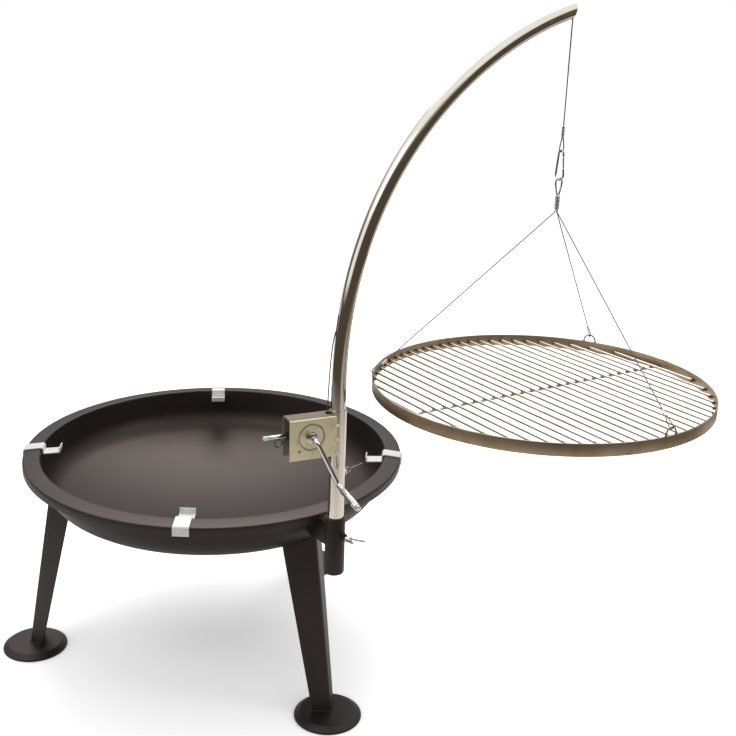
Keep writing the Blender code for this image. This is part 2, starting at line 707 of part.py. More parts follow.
def build_cable(crank):
    points, leave = winding_points()
    gaps = [(a - b).length for i, a in enumerate(points) for b in points[i + 8:]]
    print(f"Least gap of the winding to itself: {(min(gaps) - 2 * CABLE_RADIUS) * 1000:.2f} mm")
    set_in(wire("drum_cable", points, CABLE_RADIUS, 1), WIRE, crank)

    # A third of a turn on the drum, round the guide pin, and up beside the tube
    side = WRAP_PITCH * (WRAPS + 1) / 2
    route = []
    for k in range(8, -1, -1):
        a = leave - 2 * pi * k / 24
        route.append(HUB + Vector((WRAP_RADIUS * cos(a), side, WRAP_RADIUS * sin(a))))
    for k in range(4):
        a = leave * (1 - k / 3)
        route.append(GUIDE + Vector((GUIDE_PATH * cos(a), side - 0.0003 * k, GUIDE_PATH * sin(a))))
    climb = [(-0.0185, 0.0058, 0.672), (-0.0183, 0.0048, 0.700), (-0.0172, 0.0026, 0.745),
             (-0.0143, 0.0008, 0.790), (-0.0100, 0, 0.815), (-0.0036, 0, 0.833),
             (0.0035, 0, 0.850), (0.0109, 0, 0.872)]
    route += smooth_route(climb, 2)
    # Inside the arm it drifts from the middle to the lower wall
    for k in range(5, 30):
        t = k / 30
        ahead = (arm_point(t + 0.01) - arm_point(t)).normalized()
        route.append(arm_point(t) + Vector((ahead.z, 0, -ahead.x)) * 0.0100 * t)
    # Over the lip of the cut end
    route += [Vector(p) for p in ((0.4215, 0, 1.3585), (0.4300, 0, 1.3616), (0.4335, 0, 1.3622),
                                  (0.4352, 0, 1.3610), (REACH, 0, 1.3585),
                                  (REACH, 0, DROP_TOP_Z + SEAT))]
    set_in(wire("hoist_cable_run", route, CABLE_RADIUS), WIRE, mast)


def build_pawl():
    """The pawl rests just outside the teeth, and swings in about its pin to hold them."""
    pawl = empty("pawl_axis", mast, HUB + PAWL_PIVOT)
    pivot = PAWL_PIVOT
    round_end = [(pivot.x + 0.006 * cos(radians(a)), pivot.z + 0.006 * sin(radians(a)))
                 for a in (45, 0, -45, -90, -135, -180)]
    outline = [(-0.0270, -0.0012), (-0.0277, -0.0050), (-0.0285, -0.0100), (-0.0290, -0.0150),
               *round_end, (-0.0340, -0.0130), (LEVER_START, -0.0065), (LEVER_START, 0.0030),
               (-0.0345, 0.0030), (-0.0315, -0.0020)]
    local = [(x - pivot.x, z - pivot.z) for x, z in outline]
    middle = sum(WHEEL_Y) / 2
    blade = plate("pawl", local, WHEEL_Y[1] - WHEEL_Y[0], [(0, 0, PAWL_PIN + SEAT, 16)])
    set_in(blade, DARK_STEEL, pawl, (0, middle, 0), (pi / 2, 0, 0))

    cap_length = 0.0110
    low = LEVER_START - pivot.x
    high = LEVER_END - pivot.x
    lift = LEVER_LIFT - pivot.z
    along = (0, -pi / 2, 0)
    rod = pin("pawl_lever", LEVER_RADIUS, -low + SEAT, -high - cap_length, 12)
    set_in(rod, BRIGHT, pawl, (0, middle, lift), along)
    cap_low = -high - cap_length + SEAT
    cap = frozen(turned("lever_cap", [(0, -high), (0.0025, -high), (0.0040, -high - 0.0015),
                                      (0.0042, cap_low + 0.001), (0.0036, cap_low), (0, cap_low)], 16))
    set_in(cap, BRIGHT, pawl, (0, middle, lift), along)

    ring_radius = 0.0065
    ring_wire = 0.0011
    turns = [2 * pi * k / 16 for k in range(16)]
    ring = wire("lever_ring", [Vector((ring_radius * cos(a), 0, ring_radius * sin(a)))
                               for a in turns], ring_wire, 1, cyclic=True)
    drop = LEVER_RADIUS + SEAT + ring_radius + ring_wire
    set_in(ring, DARK_STEEL, pawl, (-0.0535 - pivot.x, middle, lift - drop))


def build_crank(crank):
    start = Vector((0, -0.0240 - SEAT, 0))
    stub = start + Vector((0, -CRANK_STUB, 0))
    elbow = stub + CRANK_ARM
    tip = elbow + CRANK_HANDLE
    rod = wire("crank_rod", rounded([start, stub, elbow, tip], CRANK_BEND, 4), CRANK_RADIUS, 3)
    set_in(rod, STAINLESS, crank)

    out = CRANK_HANDLE.normalized()
    turn = out.to_track_quat("Z", "Y").to_euler()
    cap = frozen(turned("crank_cap", [(0, 0.0040), (0.0040, 0.0036), (0.0062, 0.0020),
                                      (0.0062, SEAT), (0, SEAT)], 16))
    set_in(cap, BRIGHT, crank, tip, turn)

    grip_start = CRANK_HANDLE.length - 0.002 - GRIP_LENGTH
    bore = CRANK_RADIUS + SEAT
    profile = [(GRIP_RADIUS, GRIP_LENGTH - 0.001), (GRIP_RADIUS, 0.001), (GRIP_RADIUS - 0.0006, 0),
               (bore, 0), (bore, GRIP_LENGTH), (GRIP_RADIUS - 0.0006, GRIP_LENGTH)]
    grip = frozen(turned("crank_grip", profile, 20, closed=True))
    set_in(grip, BRIGHT, crank, elbow + out * grip_start, turn)


def loop_points(half_width, low, high, neck):
    """A U of wire in XZ: round at the height low, and drawn in to a neck at high."""
    centre = low + half_width
    side = [(neck, high), (neck + (half_width - neck) * 0.35, high + (centre - high) * 0.28),
            (neck + (half_width - neck) * 0.85, high + (centre - high) * 0.66)]
    arc = [(half_width * cos(a), centre - half_width * sin(a))
           for a in (pi * k / 8 for k in range(9))]
    points = side + arc + [(-x, z) for x, z in reversed(side)]
    return [Vector((x, 0, z)) for x, z in points]


def build_hook():
    drop = pin("hoist_cable_drop", CABLE_RADIUS, FERRULE_Z[1] + SEAT, DROP_TOP_Z, 8)
    set_in(drop, WIRE, hang)
    set_in(pin("cable_ferrule", FERRULE_RADIUS, *FERRULE_Z), BRIGHT, hang)

    eye = wire("cable_eye", loop_points(EYE_HALF, EYE_BOTTOM_Z, FERRULE_Z[0] - SEAT, 0.0014),
               CABLE_RADIUS)
    set_in(eye, WIRE, hang, rotation=(0, 0, EYE_ANGLE - ARM_ANGLE))

    # The snap hook is an open pear of wire, and its gate closes the open side
    top = EYE_BOTTOM_Z + CABLE_RADIUS + HOOK_WIRE + SEAT - HOOK_HALF_TOP
    low = HOOK_BOTTOM_Z + HOOK_HALF_BOTTOM
    lean = Vector((HOOK_HALF_TOP - HOOK_HALF_BOTTOM, 0, top - low))
    foot = Vector((HOOK_HALF_BOTTOM, 0, low))
    nose = foot + lean * 0.30
    hinge = foot + lean * 0.86
    arc_low = [Vector((HOOK_HALF_BOTTOM * cos(a), 0, low - HOOK_HALF_BOTTOM * sin(a)))
               for a in (pi * k / 8 for k in range(9))]
    arc_top = [Vector((-HOOK_HALF_TOP * cos(a), 0, top + HOOK_HALF_TOP * sin(a)))
               for a in (pi * k / 8 for k in range(9))]
    turn = (0, 0, HOOK_ANGLE - ARM_ANGLE)
    hook = wire("snap_hook", [nose, *arc_low, *arc_top, hinge], HOOK_WIRE)
    set_in(hook, BRIGHT, hang, rotation=turn)
    gap = lean.normalized() * 0.0006
    axis = empty("gate_axis", hang, rotation=turn)
    spot = empty("gate_pivot", axis, hinge - gap)
    gate = wire("hook_gate", [Vector((0, 0, 0)), nose + 2 * gap - hinge], HOOK_WIRE - 0.0004)
    set_in(gate, BRIGHT, spot)

    # Below the hook: the eye of the bridle, drawn into its sleeve
    top = HOOK_BOTTOM_Z + HOOK_WIRE + THIMBLE_WIRE + SEAT
    slant = 0.0004                # its slanted ends dip this far towards the sleeve
    turned_over = [Vector((p.x, 0, -p.z)) for p in
                   loop_points(THIMBLE_HALF, -top, -SLEEVE_Z[1] - SEAT - slant, THIMBLE_WIRE + 0.0004)]
    thimble = wire("hanger_eye", turned_over, THIMBLE_WIRE)
    set_in(thimble, BRIGHT, hang, rotation=(0, 0, EYE_ANGLE - ARM_ANGLE))
    set_in(pin("bridle_sleeve", SLEEVE_RADIUS, *SLEEVE_Z), BRIGHT, hang)


def build_bridle():
    """Three eyelets on the ring, and a cable from each up to the sleeve."""
    top_z = GRATE_TOP_Z + SEAT + EYELET_HEIGHT
    eyelet_r = GRATE_RADIUS - BAND_SHEET / 2
    eye = Vector((eyelet_r, 0, top_z))
    apex = Vector((0.0026, 0, SLEEVE_Z[0] - 0.0055))
    along = (apex - eye).normalized()
    across_it = Vector((-along.z, 0, along.x))
    arch_centre = top_z - EYELET_HALF
    arch = [Vector((0, -EYELET_HALF, GRATE_TOP_Z + SEAT))]
    arch += [Vector((0, -EYELET_HALF * cos(a), arch_centre + EYELET_HALF * sin(a)))
             for a in (pi * k / 8 for k in range(9))]
    arch.append(Vector((0, EYELET_HALF, GRATE_TOP_Z + SEAT)))

    ferrule = (0.0225, 0.0345)
    hold = EYELET_WIRE + BRIDLE_RADIUS + SEAT
    loop_half = 0.0045
    loop = [eye + along * s + across_it * t for s, t in (
        (ferrule[0] - SEAT, 0.0013), (0.0165, 0.0025), (0.0100, 0.0040),
        *((loop_half - hold + loop_half * cos(a), loop_half * sin(a))
          for a in (pi / 2 + pi * k / 6 for k in range(7))),
        (0.0100, -0.0040), (0.0165, -0.0025), (ferrule[0] - SEAT, -0.0013))]
    stay = [eye + along * (ferrule[1] + SEAT), apex, Vector((0.0022, 0, SLEEVE_Z[0] - SEAT))]
    for number, angle in enumerate(EYELET_ANGLES, 1):
        turn = (0, 0, angle)
        eyelet = wire(f"eyelet_{number}", arch, EYELET_WIRE, 1)
        set_in(eyelet, BRIGHT, grate, polar(eyelet_r, angle), turn)
        set_in(wire(f"bridle_cable_{number}", stay, BRIDLE_RADIUS), WIRE, grate, rotation=turn)
        set_in(wire(f"bridle_loop_{number}", loop, BRIDLE_RADIUS, 1), WIRE, grate, rotation=turn)
        crimp = wire(f"bridle_ferrule_{number}", [eye + along * s for s in ferrule], 0.0030)
        set_in(crimp, BRIGHT, grate, rotation=turn)


def build_grate():
    bore = GRATE_RADIUS - BAND_SHEET
    ring = collar("grate_ring", GRATE_RADIUS, bore, GRATE_TOP_Z - BAND_HEIGHT, GRATE_TOP_Z,
                  BAND_STEPS)
    set_in(ring, GRATE_STEEL, grate)

    # Bars end just inside the faceted band
    limit = bore * cos(pi / BAND_STEPS) - SEAT
    bars = bmesh.new()
    for k in range(BARS):
        x = (k - (BARS - 1) / 2) * BAR_PITCH
        length = 2 * sqrt(limit ** 2 - (abs(x) + BAR_RADIUS) ** 2)
        made = bmesh.ops.create_cone(bars, cap_ends=True, segments=8, radius1=BAR_RADIUS,
                                     radius2=BAR_RADIUS, depth=length)
        for vert in made["verts"]:
            vert.co = Vector((x + vert.co.x, vert.co.z, -vert.co.y))
    mesh = bpy.data.meshes.new("grate_bars")
    bars.to_mesh(mesh)
    bars.free()
    grille = frozen(linked("grate_bars", mesh))
    half = sqrt(limit ** 2 - BAR_RADIUS ** 2)
    rod = pin("cross_rod", BAR_RADIUS, -half, half, 8)
    rod.rotation_euler = (0, pi / 2, 0)
    rod.location.z = WELD_SINK - 2 * BAR_RADIUS
    cut(grille, rod, "UNION")
    set_in(frozen(grille), GRATE_STEEL, grate, (0, 0, GRATE_TOP_Z - BAR_DROP))


def build_clips():
    """Strips bent over the rim, each with a shelf and a tab inside the bowl."""
    skirt = BOWL_RADIUS + SEAT
    leg = BOWL_RADIUS - BAND_WIDTH - 0.0024
    # The strip lies on the band, which slopes between its two rounded edges
    slope = BAND_RISE / (BAND_WIDTH - BAND_OUTER_EDGE - BAND_INNER_EDGE)
    outer_z = RIM_Z + SEAT - slope * BAND_OUTER_EDGE
    inner_z = outer_z + slope * (skirt - leg)
    corners = [(skirt, 0, RIM_Z - 0.0165), (skirt, 0, outer_z), (leg, 0, inner_z),
               (leg, 0, CLIP_SHELF_Z),
               (CLIP_SHELF_R, 0, CLIP_SHELF_Z), (CLIP_SHELF_R, 0, CLIP_SHELF_Z + CLIP_TAB)]
    first = strip("grate_clip_1", rounded(corners, 0.0035), CLIP_WIDTH, CLIP_SHEET)
    for number, angle in enumerate(CLIP_ANGLES, 1):
        clip = first if number == 1 else copy_of(first, f"grate_clip_{number}")
        set_in(clip, BRIGHT, base, rotation=(0, 0, angle))


def build_all():
    build_bowl()
    plug = build_bowl_clearance()
    build_legs(plug)
    build_feet()
    build_socket(plug)
    build_screws()
    build_mast()
    build_housing()
    crank = build_winch()
    build_cable(crank)
    build_pawl()
    build_crank(crank)
    build_hook()
    build_bridle()
    build_grate()
    build_clips()


build_all()
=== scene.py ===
"""Tripod swing grill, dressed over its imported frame.

A dished fire bowl on three folded legs, a swing mast in a socket beside it, and a
round grate on a steel cable that a ratchet winch raises. Metres, +Z up.
"""

from math import acos, asin, atan2, cos, pi, radians, sin, sqrt, tan

import bmesh
import bpy
from mathutils import Matrix, Vector


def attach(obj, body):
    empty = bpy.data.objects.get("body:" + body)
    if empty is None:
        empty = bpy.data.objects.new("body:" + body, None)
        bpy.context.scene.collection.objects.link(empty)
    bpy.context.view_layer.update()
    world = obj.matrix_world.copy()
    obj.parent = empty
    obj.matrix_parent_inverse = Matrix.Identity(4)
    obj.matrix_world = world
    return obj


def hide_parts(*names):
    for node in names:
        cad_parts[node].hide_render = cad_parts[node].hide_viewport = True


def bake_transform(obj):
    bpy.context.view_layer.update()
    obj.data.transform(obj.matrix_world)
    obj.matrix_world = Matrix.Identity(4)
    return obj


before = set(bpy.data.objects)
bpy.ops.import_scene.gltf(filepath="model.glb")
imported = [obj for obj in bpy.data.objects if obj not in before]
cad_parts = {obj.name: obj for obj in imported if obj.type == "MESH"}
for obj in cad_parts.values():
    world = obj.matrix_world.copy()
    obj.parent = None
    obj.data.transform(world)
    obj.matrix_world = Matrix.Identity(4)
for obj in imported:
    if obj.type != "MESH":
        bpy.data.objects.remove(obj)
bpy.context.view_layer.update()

SEAT = 0.0003         # gap between pieces that touch

# Bowl
BOWL_RADIUS = 0.400
RIM_Z = 0.455
BAND_WIDTH = 0.0354
BAND_RISE = 0.003
BAND_OUTER_EDGE = 0.0048
BAND_INNER_EDGE = 0.0040
SKIRT_DROP = 0.018
BOWL_SHEET = 0.003
CROWN_RADIUS = 0.800
BOWL_BOTTOM_Z = 0.293
KNUCKLE_RADIUS = 0.065
WALL_SLOPE = radians(83)
WALL_HEIGHT = 0.043
WALL_STOP = 0.004     # the wall's line ends this far below the band's inner side
BOWL_STEPS = 240
RIM_BEND = 0.0034
SKIRT_LIP = (0.0004, 0.0005)             # its eased lower edge, in and down

# Legs and feet
LEG_ANGLES = [radians(a) for a in (-48.3, 60.4, 191.7)]
LEG_SHEET = 0.003
LEG_FACE_BOTTOM = 0.039
LEG_FACE_TOP = 0.073
LEG_FOLD_BOTTOM = 0.4115
LEG_FOLD_TOP = 0.3475
LEG_TOP_Z = 0.400
LEG_FOLD_RADIUS = 0.006
LEG_SINK = 0.002      # the taper is counted from this far below the foot's top
LEG_WELD_GAP = 0.0008
LEG_WELD_STEP = 0.004
LEG_WELD = 0.0022
FOOT_WELD = 0.0018
FOOT_RADIUS = 0.068
FOOT_REACH = 0.399
FOOT_HEIGHT = 0.012
FOOT_EDGE = 0.0016
FOOT_LINE = [(0.040, FOOT_HEIGHT), (0.0562, FOOT_HEIGHT), (FOOT_RADIUS - 0.0006, 0.0044),
             (FOOT_RADIUS, 0.0024), (FOOT_RADIUS, 0.0)]

# Socket, mast and arm
MAST_ANGLE = radians(-51.4)
REACH = 0.436
ARM_ANGLE = radians(25.5)
SOCKET_BOTTOM_Z = 0.345
SOCKET_TOP_Z = 0.461
SOCKET_RADIUS = 0.01875
SOCKET_BORE = 0.0160
SOCKET_FLOOR = 0.005
SOCKET_EDGE = 0.005
SOCKET_LIP = [(0, 0.0008), (0.0003, 0.0002), (0.0009, 0)]    # the mouth's eased edge
WEB_Z = (0.393, 0.433)
WEB_SIDE = 0.0028     # from the middle of the web to its welds
TUBE_RADIUS = 0.0155
TUBE_BORE = 0.0140
TUBE_TOP_Z = 0.673
ARM_RADIUS = 0.0135
ARM_WALL = 0.0017
ARM_BOTTOM_Z = 0.470
ARM_BEND_Z = 0.720
ARM_END = Vector((0.449, 0, 1.3774))
ARM_END_SLOPE = radians(74)
ARM_STEPS = 120
ARM_HANDLES = (0.400, 0.200)
ARM_CUT = Vector((0.4330, 0, 1.3580))
ARM_CUT_BLOCK = 0.12
ARM_CUT_SLANT = radians(7)
SLOT_Z = (0.812, 0.850)
SLOT_WIDTH = 0.0052
SCREW_RADIUS = 0.0040
SOCKET_SCREW_Z = 0.4237
SOCKET_SCREW_ANGLE = radians(-35)
SOCKET_SCREW_ROLL = radians(75)
MAST_SCREW_Z = 0.5455
MAST_SCREW_ANGLE = radians(26)
MAST_SCREW_ROLL = radians(56)
NUT_HEIGHT = 0.0065
NUT_RADIUS = 0.0075
SCREW_HOLE = (0.006, 0.030)    # the holes' reach, from the tube's middle
WING_SHEET = 0.0026
THREAD_PITCH = 0.00125
THREAD_TURNS = 9

# Winch
HUB = Vector((-0.0565, 0, 0.631))
PLATE_LEFT = -0.0985
PLATE_RIGHT = -0.0020
PLATE_BOTTOM = 0.589
PLATE_TOP = 0.6665
PLATE_FRONT = -0.0140
PLATE_BACK = 0.0210
PLATE_SHEET = 0.0025
PLATE_BEND = 0.0045
PLATE_RING = (0.0262, 0.0222, 0.0012)    # outer and inner radius, and height
RING_SINK = 0.0008
NOTCH = [(-0.0235, -0.002), (-0.0235, 0.012), (-0.004, 0.012), (-0.004, -0.002)]
CHANNEL_WELDS_Z = (0.6475, 0.620, 0.594)
AXLE_Y = (-0.0240, 0.0250)
SHAFT_RADIUS = 0.0050
DRUM_HALF = 0.0100
DRUM_CORE = 0.0215
DRUM_FLANGE = 0.0275
FLANGE_SHEET = 0.0015
FLANGE_EDGE = 0.0003
WRAPS = 3.5
WRAP_PITCH = 0.0030
TEETH = 16
TOOTH_TIP = 0.0265
TOOTH_ROOT = 0.0222
TOOTH_LEAN = 0.002    # radians that a tooth's steep face leans
WHEEL_Y = (0.0112, 0.0152)
WHEEL_MIDDLE = sum(WHEEL_Y) / 2
HUB_WASHER = (0.0105, 0.0015)            # radius and thickness
HUB_NUT = (0.0170 / sqrt(3), 0.0065)     # radius to its corners, and height
AXLE_RING = (0.0085, 0.0020)
GUIDE = Vector((-0.0251, 0, 0.6575))
GUIDE_RADIUS = 0.0050
PAWL_PIVOT = Vector((-0.0230, 0, -0.0250))
PAWL_PIN = 0.0030
PAWL_HEEL = 0.006
LEVER_START = -0.0385
LEVER_LIFT = -0.0020
LEVER_END = -0.0825
LEVER_RADIUS = 0.0038
LEVER_CAP = (0.0110, 0.0042)             # length and radius
SPLIT_RING = (0.0070, 0.0013)            # radius and wire
SPLIT_RING_X = -0.0535
CRANK_RADIUS = 0.0045
CRANK_STUB = 0.0135
CRANK_ARM = Vector((0.0384, -0.0105, -0.0836))
CRANK_HANDLE = Vector((0.0079, -0.0692, -0.0172))
CRANK_BEND = 0.0080
GRIP_RADIUS = 0.0064
GRIP_LENGTH = 0.052
GRIP_END = 0.002      # of the bar, past the grip
GRIP_EDGE = [(0.0006, 0), (0.0002, 0.0004), (0, 0.0010)]     # its eased ends, in and along

# Cable, hook and bridle
CABLE_RADIUS = 0.00125
DROP_TOP_Z = 1.3507
FERRULE_Z = (1.151, 1.171)
FERRULE_RADIUS = 0.0035
EYE_HALF = 0.0050
EYE_BOTTOM_Z = 1.1243
HOOK_WIRE = 0.0020
HOOK_HALF_TOP = 0.0060
HOOK_HALF_BOTTOM = 0.0100
HOOK_BOTTOM_Z = 1.0730
EYE_ANGLE = radians(35)
HOOK_ANGLE = radians(-55)
THIMBLE_WIRE = 0.00175
THIMBLE_HALF = 0.0078
SLEEVE_Z = (1.0185, 1.0440)
SLEEVE_RADIUS = 0.0050
WRAP_RADIUS = DRUM_CORE + CABLE_RADIUS + SEAT
GUIDE_PATH = GUIDE_RADIUS + CABLE_RADIUS + SEAT
CABLE_LAY = 0.014
LOOP_SEGMENT = 0.0010                    # gap between the points of a small loop
LATCH_ENDS = (0.30, 0.86)                # along the hook's straight side
LATCH_GAP = 0.0006

# Grate
GRATE_ANGLE = radians(33.7)
GRATE_RADIUS = 0.334
GRATE_TOP_Z = 0.6785
BAND_HEIGHT = 0.024
BAND_SHEET = 0.003
BARS = 27
BAR_PITCH = 0.0238
BAR_RADIUS = 0.0025
BAR_DROP = 0.012
WELD_SINK = 0.0004
BAND_STEPS = 240
BAND_EDGE = 0.0006
BAND_SEAM_ANGLE = radians(205)
END_WELD = 0.0042
ROD_WELD = 0.0026
END_WELD_INSET = 0.0014
EYELET_ANGLES = [radians(30 + 120 * k) for k in range(3)]
EYELET_WIRE = 0.0016
EYELET_HALF = 0.0125
EYELET_HEIGHT = 0.0145
BRIDLE_RADIUS = 0.0011
STAY_APEX = (0.0026, 0.0055)             # out from the middle, and below the sleeve
STAY_TOP = 0.0022                        # out from the middle, at the sleeve
STAY_FERRULE = (0.0225, 0.0345)          # its ends, from the eyelet
STAY_FERRULE_RADIUS = 0.0030
STAY_LOOP_HALF = 0.0045

# Clips
CLIP_ANGLES = [radians(a) for a in (-91, -2, 97, 186.5)]
CLIP_LIFTS = (0.0030, -0.0020, -0.0020, 0.0030)     # each shelf is bent a little differently
CLIP_BODIES = ("clip_front", "clip_right", "clip_rear", "clip_left")
CLIP_WIDTH = 0.031
CLIP_SHEET = 0.0025
CLIP_SHELF_Z = 0.4440
CLIP_SHELF_R = 0.3250
CLIP_TAB = 0.0120
CLIP_BEND = 0.0035
CLIP_GRASP = 0.0165   # how far the outer leg reaches below RIM_Z

# Studio
ROOM = (0.078, 0.064, 0.044)             # the dark room that metal shows
WHITE = (1.0, 1.0, 1.0)
DAYLIGHT = (0.34, 0.34, 0.35)
BEHIND = 0.42         # share of white in what metal shows behind the grill
PHOTO_PIXELS = 736
FOCAL_PIXELS = 1106.1
SENSOR = 36
CAMERA_SPOT = Vector((0.05259, -2.18594, 1.350))
CAMERA_PITCH = radians(17.61)
CAMERA_ROLL = radians(2.01)
FLOOR_HALF = 30
FLOOR_DROP = 0.0004
FLOOR_TONE = (0.84, 0.84, 0.84)
FLOOR_GLOW = 0.85
FLOOR_MIRROR = 0.20


# Places and directions
def polar(radius, angle, z=0.0):
    return Vector((radius * cos(angle), radius * sin(angle), z))


def polar_xz(radius, angle, y=0.0):
    return Vector((radius * cos(angle), y, radius * sin(angle)))


def turn(angle, axis="Z"):
    return Matrix.Rotation(angle, 4, axis)


def shift(x, y=0.0, z=0.0):
    return Matrix.Translation((x, y, z))


def aim(direction):
    """A turn that takes +Z to the given direction."""
    return Vector(direction).to_track_quat("Z", "Y").to_matrix().to_4x4()


def side_view(points):
    """The (x, z) of each point."""
    return [(p.x, p.z) for p in points]


def spaced(first, last, count):
    """Numbers from first to last in equal steps, with both ends."""
    return [first + (last - first) * k / count for k in range(count + 1)]


def round_turn(count):
    """Evenly spaced angles once round."""
    return [2 * pi * k / count for k in range(count)]


# Frames of the assembly, in the row frame
BASE = shift(-0.2704144, 0.0360558)
FEET = [polar(FOOT_REACH, angle) for angle in LEG_ANGLES]
MAST_SPOT = polar(REACH, MAST_ANGLE)
MAST = BASE @ shift(*MAST_SPOT) @ turn(ARM_ANGLE)
CRANK = MAST @ shift(*HUB)
PAWL = CRANK @ shift(*PAWL_PIVOT)
HANG = MAST @ shift(REACH)
GRATE = HANG @ turn(GRATE_ANGLE - ARM_ANGLE)
ALONG_Y = turn(-pi / 2, "X")
UPRIGHT = turn(pi / 2, "X")


# Finishes
class Link:
    """One output of a shader node. Python's operators on it add Math nodes."""

    def __init__(self, finish, socket):
        self.finish = finish
        self.socket = socket

    def math(self, operation, *values):
        return self.finish.node("Math", {"operation": operation}, dict(enumerate(values)))

    def __add__(self, other):
        return self.math("ADD", self, other)

    def __radd__(self, other):
        return self.math("ADD", other, self)

    def __sub__(self, other):
        return self.math("SUBTRACT", self, other)

    def __rsub__(self, other):
        return self.math("SUBTRACT", other, self)

    def __mul__(self, other):
        return self.math("MULTIPLY", self, other)

    def __rmul__(self, other):
        return self.math("MULTIPLY", other, self)

    def __pow__(self, other):
        return self.math("POWER", self, other)

    def step(self, low, high):
        """0 below low, 1 above high, and smooth between."""
        return self.finish.node("MapRange", {"interpolation_type": "SMOOTHSTEP"},
                                {"Value": self, "From Min": low, "From Max": high})


class Finish:
    """A material of the grill, and the name of the slot that it belongs to."""

    def __init__(self, name, slot, owner=None):
        self.slot = slot
        self.material = owner or bpy.data.materials.new(name)
        self.material.use_nodes = True
        self.tree = self.material.node_tree
        if owner is None:
            self.shader = self.tree.nodes["Principled BSDF"]

    def node(self, kind, settings=None, values=None, output=0):
        made = self.tree.nodes.new("ShaderNode" + kind)
        for key, value in (settings or {}).items():
            if key == "stops":
                ramp = made.color_ramp
                while len(ramp.elements) < len(value):
                    ramp.elements.new(0.5)
                for element, (spot, colour) in zip(ramp.elements, value):
                    element.position = spot
                    element.color = (*colour, 1)
            else:
                setattr(made, key, value)
        for key, value in (values or {}).items():
            self.feed(made.inputs[key], value)
        return Link(self, made.outputs[output])

    def feed(self, socket, value):
        if isinstance(value, Link):
            self.tree.links.new(value.socket, socket)
        elif isinstance(value, tuple) and len(socket.default_value) == 4:
            socket.default_value = (*value[:3], 1)
        else:
            socket.default_value = value

    def set(self, **values):
        """Feed the shader: base_color=..., roughness=... and so on."""
        for key, value in values.items():
            self.feed(self.shader.inputs[key.replace("_", " ").title().replace("Ior", "IOR")], value)
        return self

    def mix(self, mask, first, second):
        return self.node("Mix", {"data_type": "RGBA"}, {0: mask, 6: first, 7: second}, 2)

    def place(self, stretch=(1, 1, 1), kind="Object"):
        """Where a point lies on the piece, stretched along each axis."""
        spot = self.node("TexCoord", output=kind)
        return self.node("Mapping", None, {"Vector": spot, "Scale": stretch})

    def along(self, spot, axis):
        """One coordinate of a point, by the axis's number."""
        return self.node("SeparateXYZ", None, {"Vector": spot}, axis)

    def cloud(self, spot, scale, detail=3.0, rough=0.5):
        return self.node("TexNoise", None, {"Vector": spot, "Scale": scale, "Detail": detail,
                                            "Roughness": rough})

    def bump(self, height, strength, distance):
        made = self.node("Bump", None, {"Height": height, "Strength": strength,
                                        "Distance": distance})
        return self.set(normal=made)


def heat_paint():
    made = Finish("heat_paint", "heat_paint")
    spot = made.place()
    broad = made.cloud(spot, 7, 4)
    fine = made.cloud(spot, 160, 3)
    grain = made.cloud(spot, 1500, 2)
    tone = made.mix(broad.step(0.3, 0.7), (0.0125, 0.0092, 0.0076), (0.0180, 0.0134, 0.0112))
    tone = made.mix(fine.step(0.62, 0.78) * 0.35, tone, (0.050, 0.043, 0.038))
    made.set(base_color=tone, roughness=0.36 + 0.10 * broad + 0.05 * fine, specular_ior_level=0.5,
             specular_tint=(1.0, 0.83, 0.77))
    return made.bump(grain * 0.7 + fine * 0.3, 0.25, 0.0004)


def polished_tube(name, colour, low, high):
    """Drawn and polished tube: faint lines along its length, and a little dulling."""
    made = Finish(name, "polished_stainless")
    lines = made.cloud(made.place((6, 900, 1), "UV"), 1, 2)
    hand = made.cloud(made.place(), 22, 4)
    dark = tuple(c * 0.86 for c in colour)
    made.set(base_color=made.mix(lines.step(0.35, 0.75), dark, colour), metallic=1.0,
             roughness=low + (high - low) * (0.6 * lines + 0.4 * hand.step(0.4, 0.8)))
    return made.bump(lines, 0.05, 0.0002)


def plated(name, slot, colour, other, low, high, metal=1.0):
    """Zinc plating: soft clouds of two tones and a fine uneven grain."""
    made = Finish(name, slot)
    spot = made.place()
    clouds = made.cloud(spot, 55, 4, 0.6)
    grain = made.cloud(spot, 700, 3)
    made.set(base_color=made.mix(clouds.step(0.35, 0.68), colour, other), metallic=metal,
             roughness=low + (high - low) * clouds + 0.06 * grain)
    return made.bump(grain, 0.12, 0.0002)


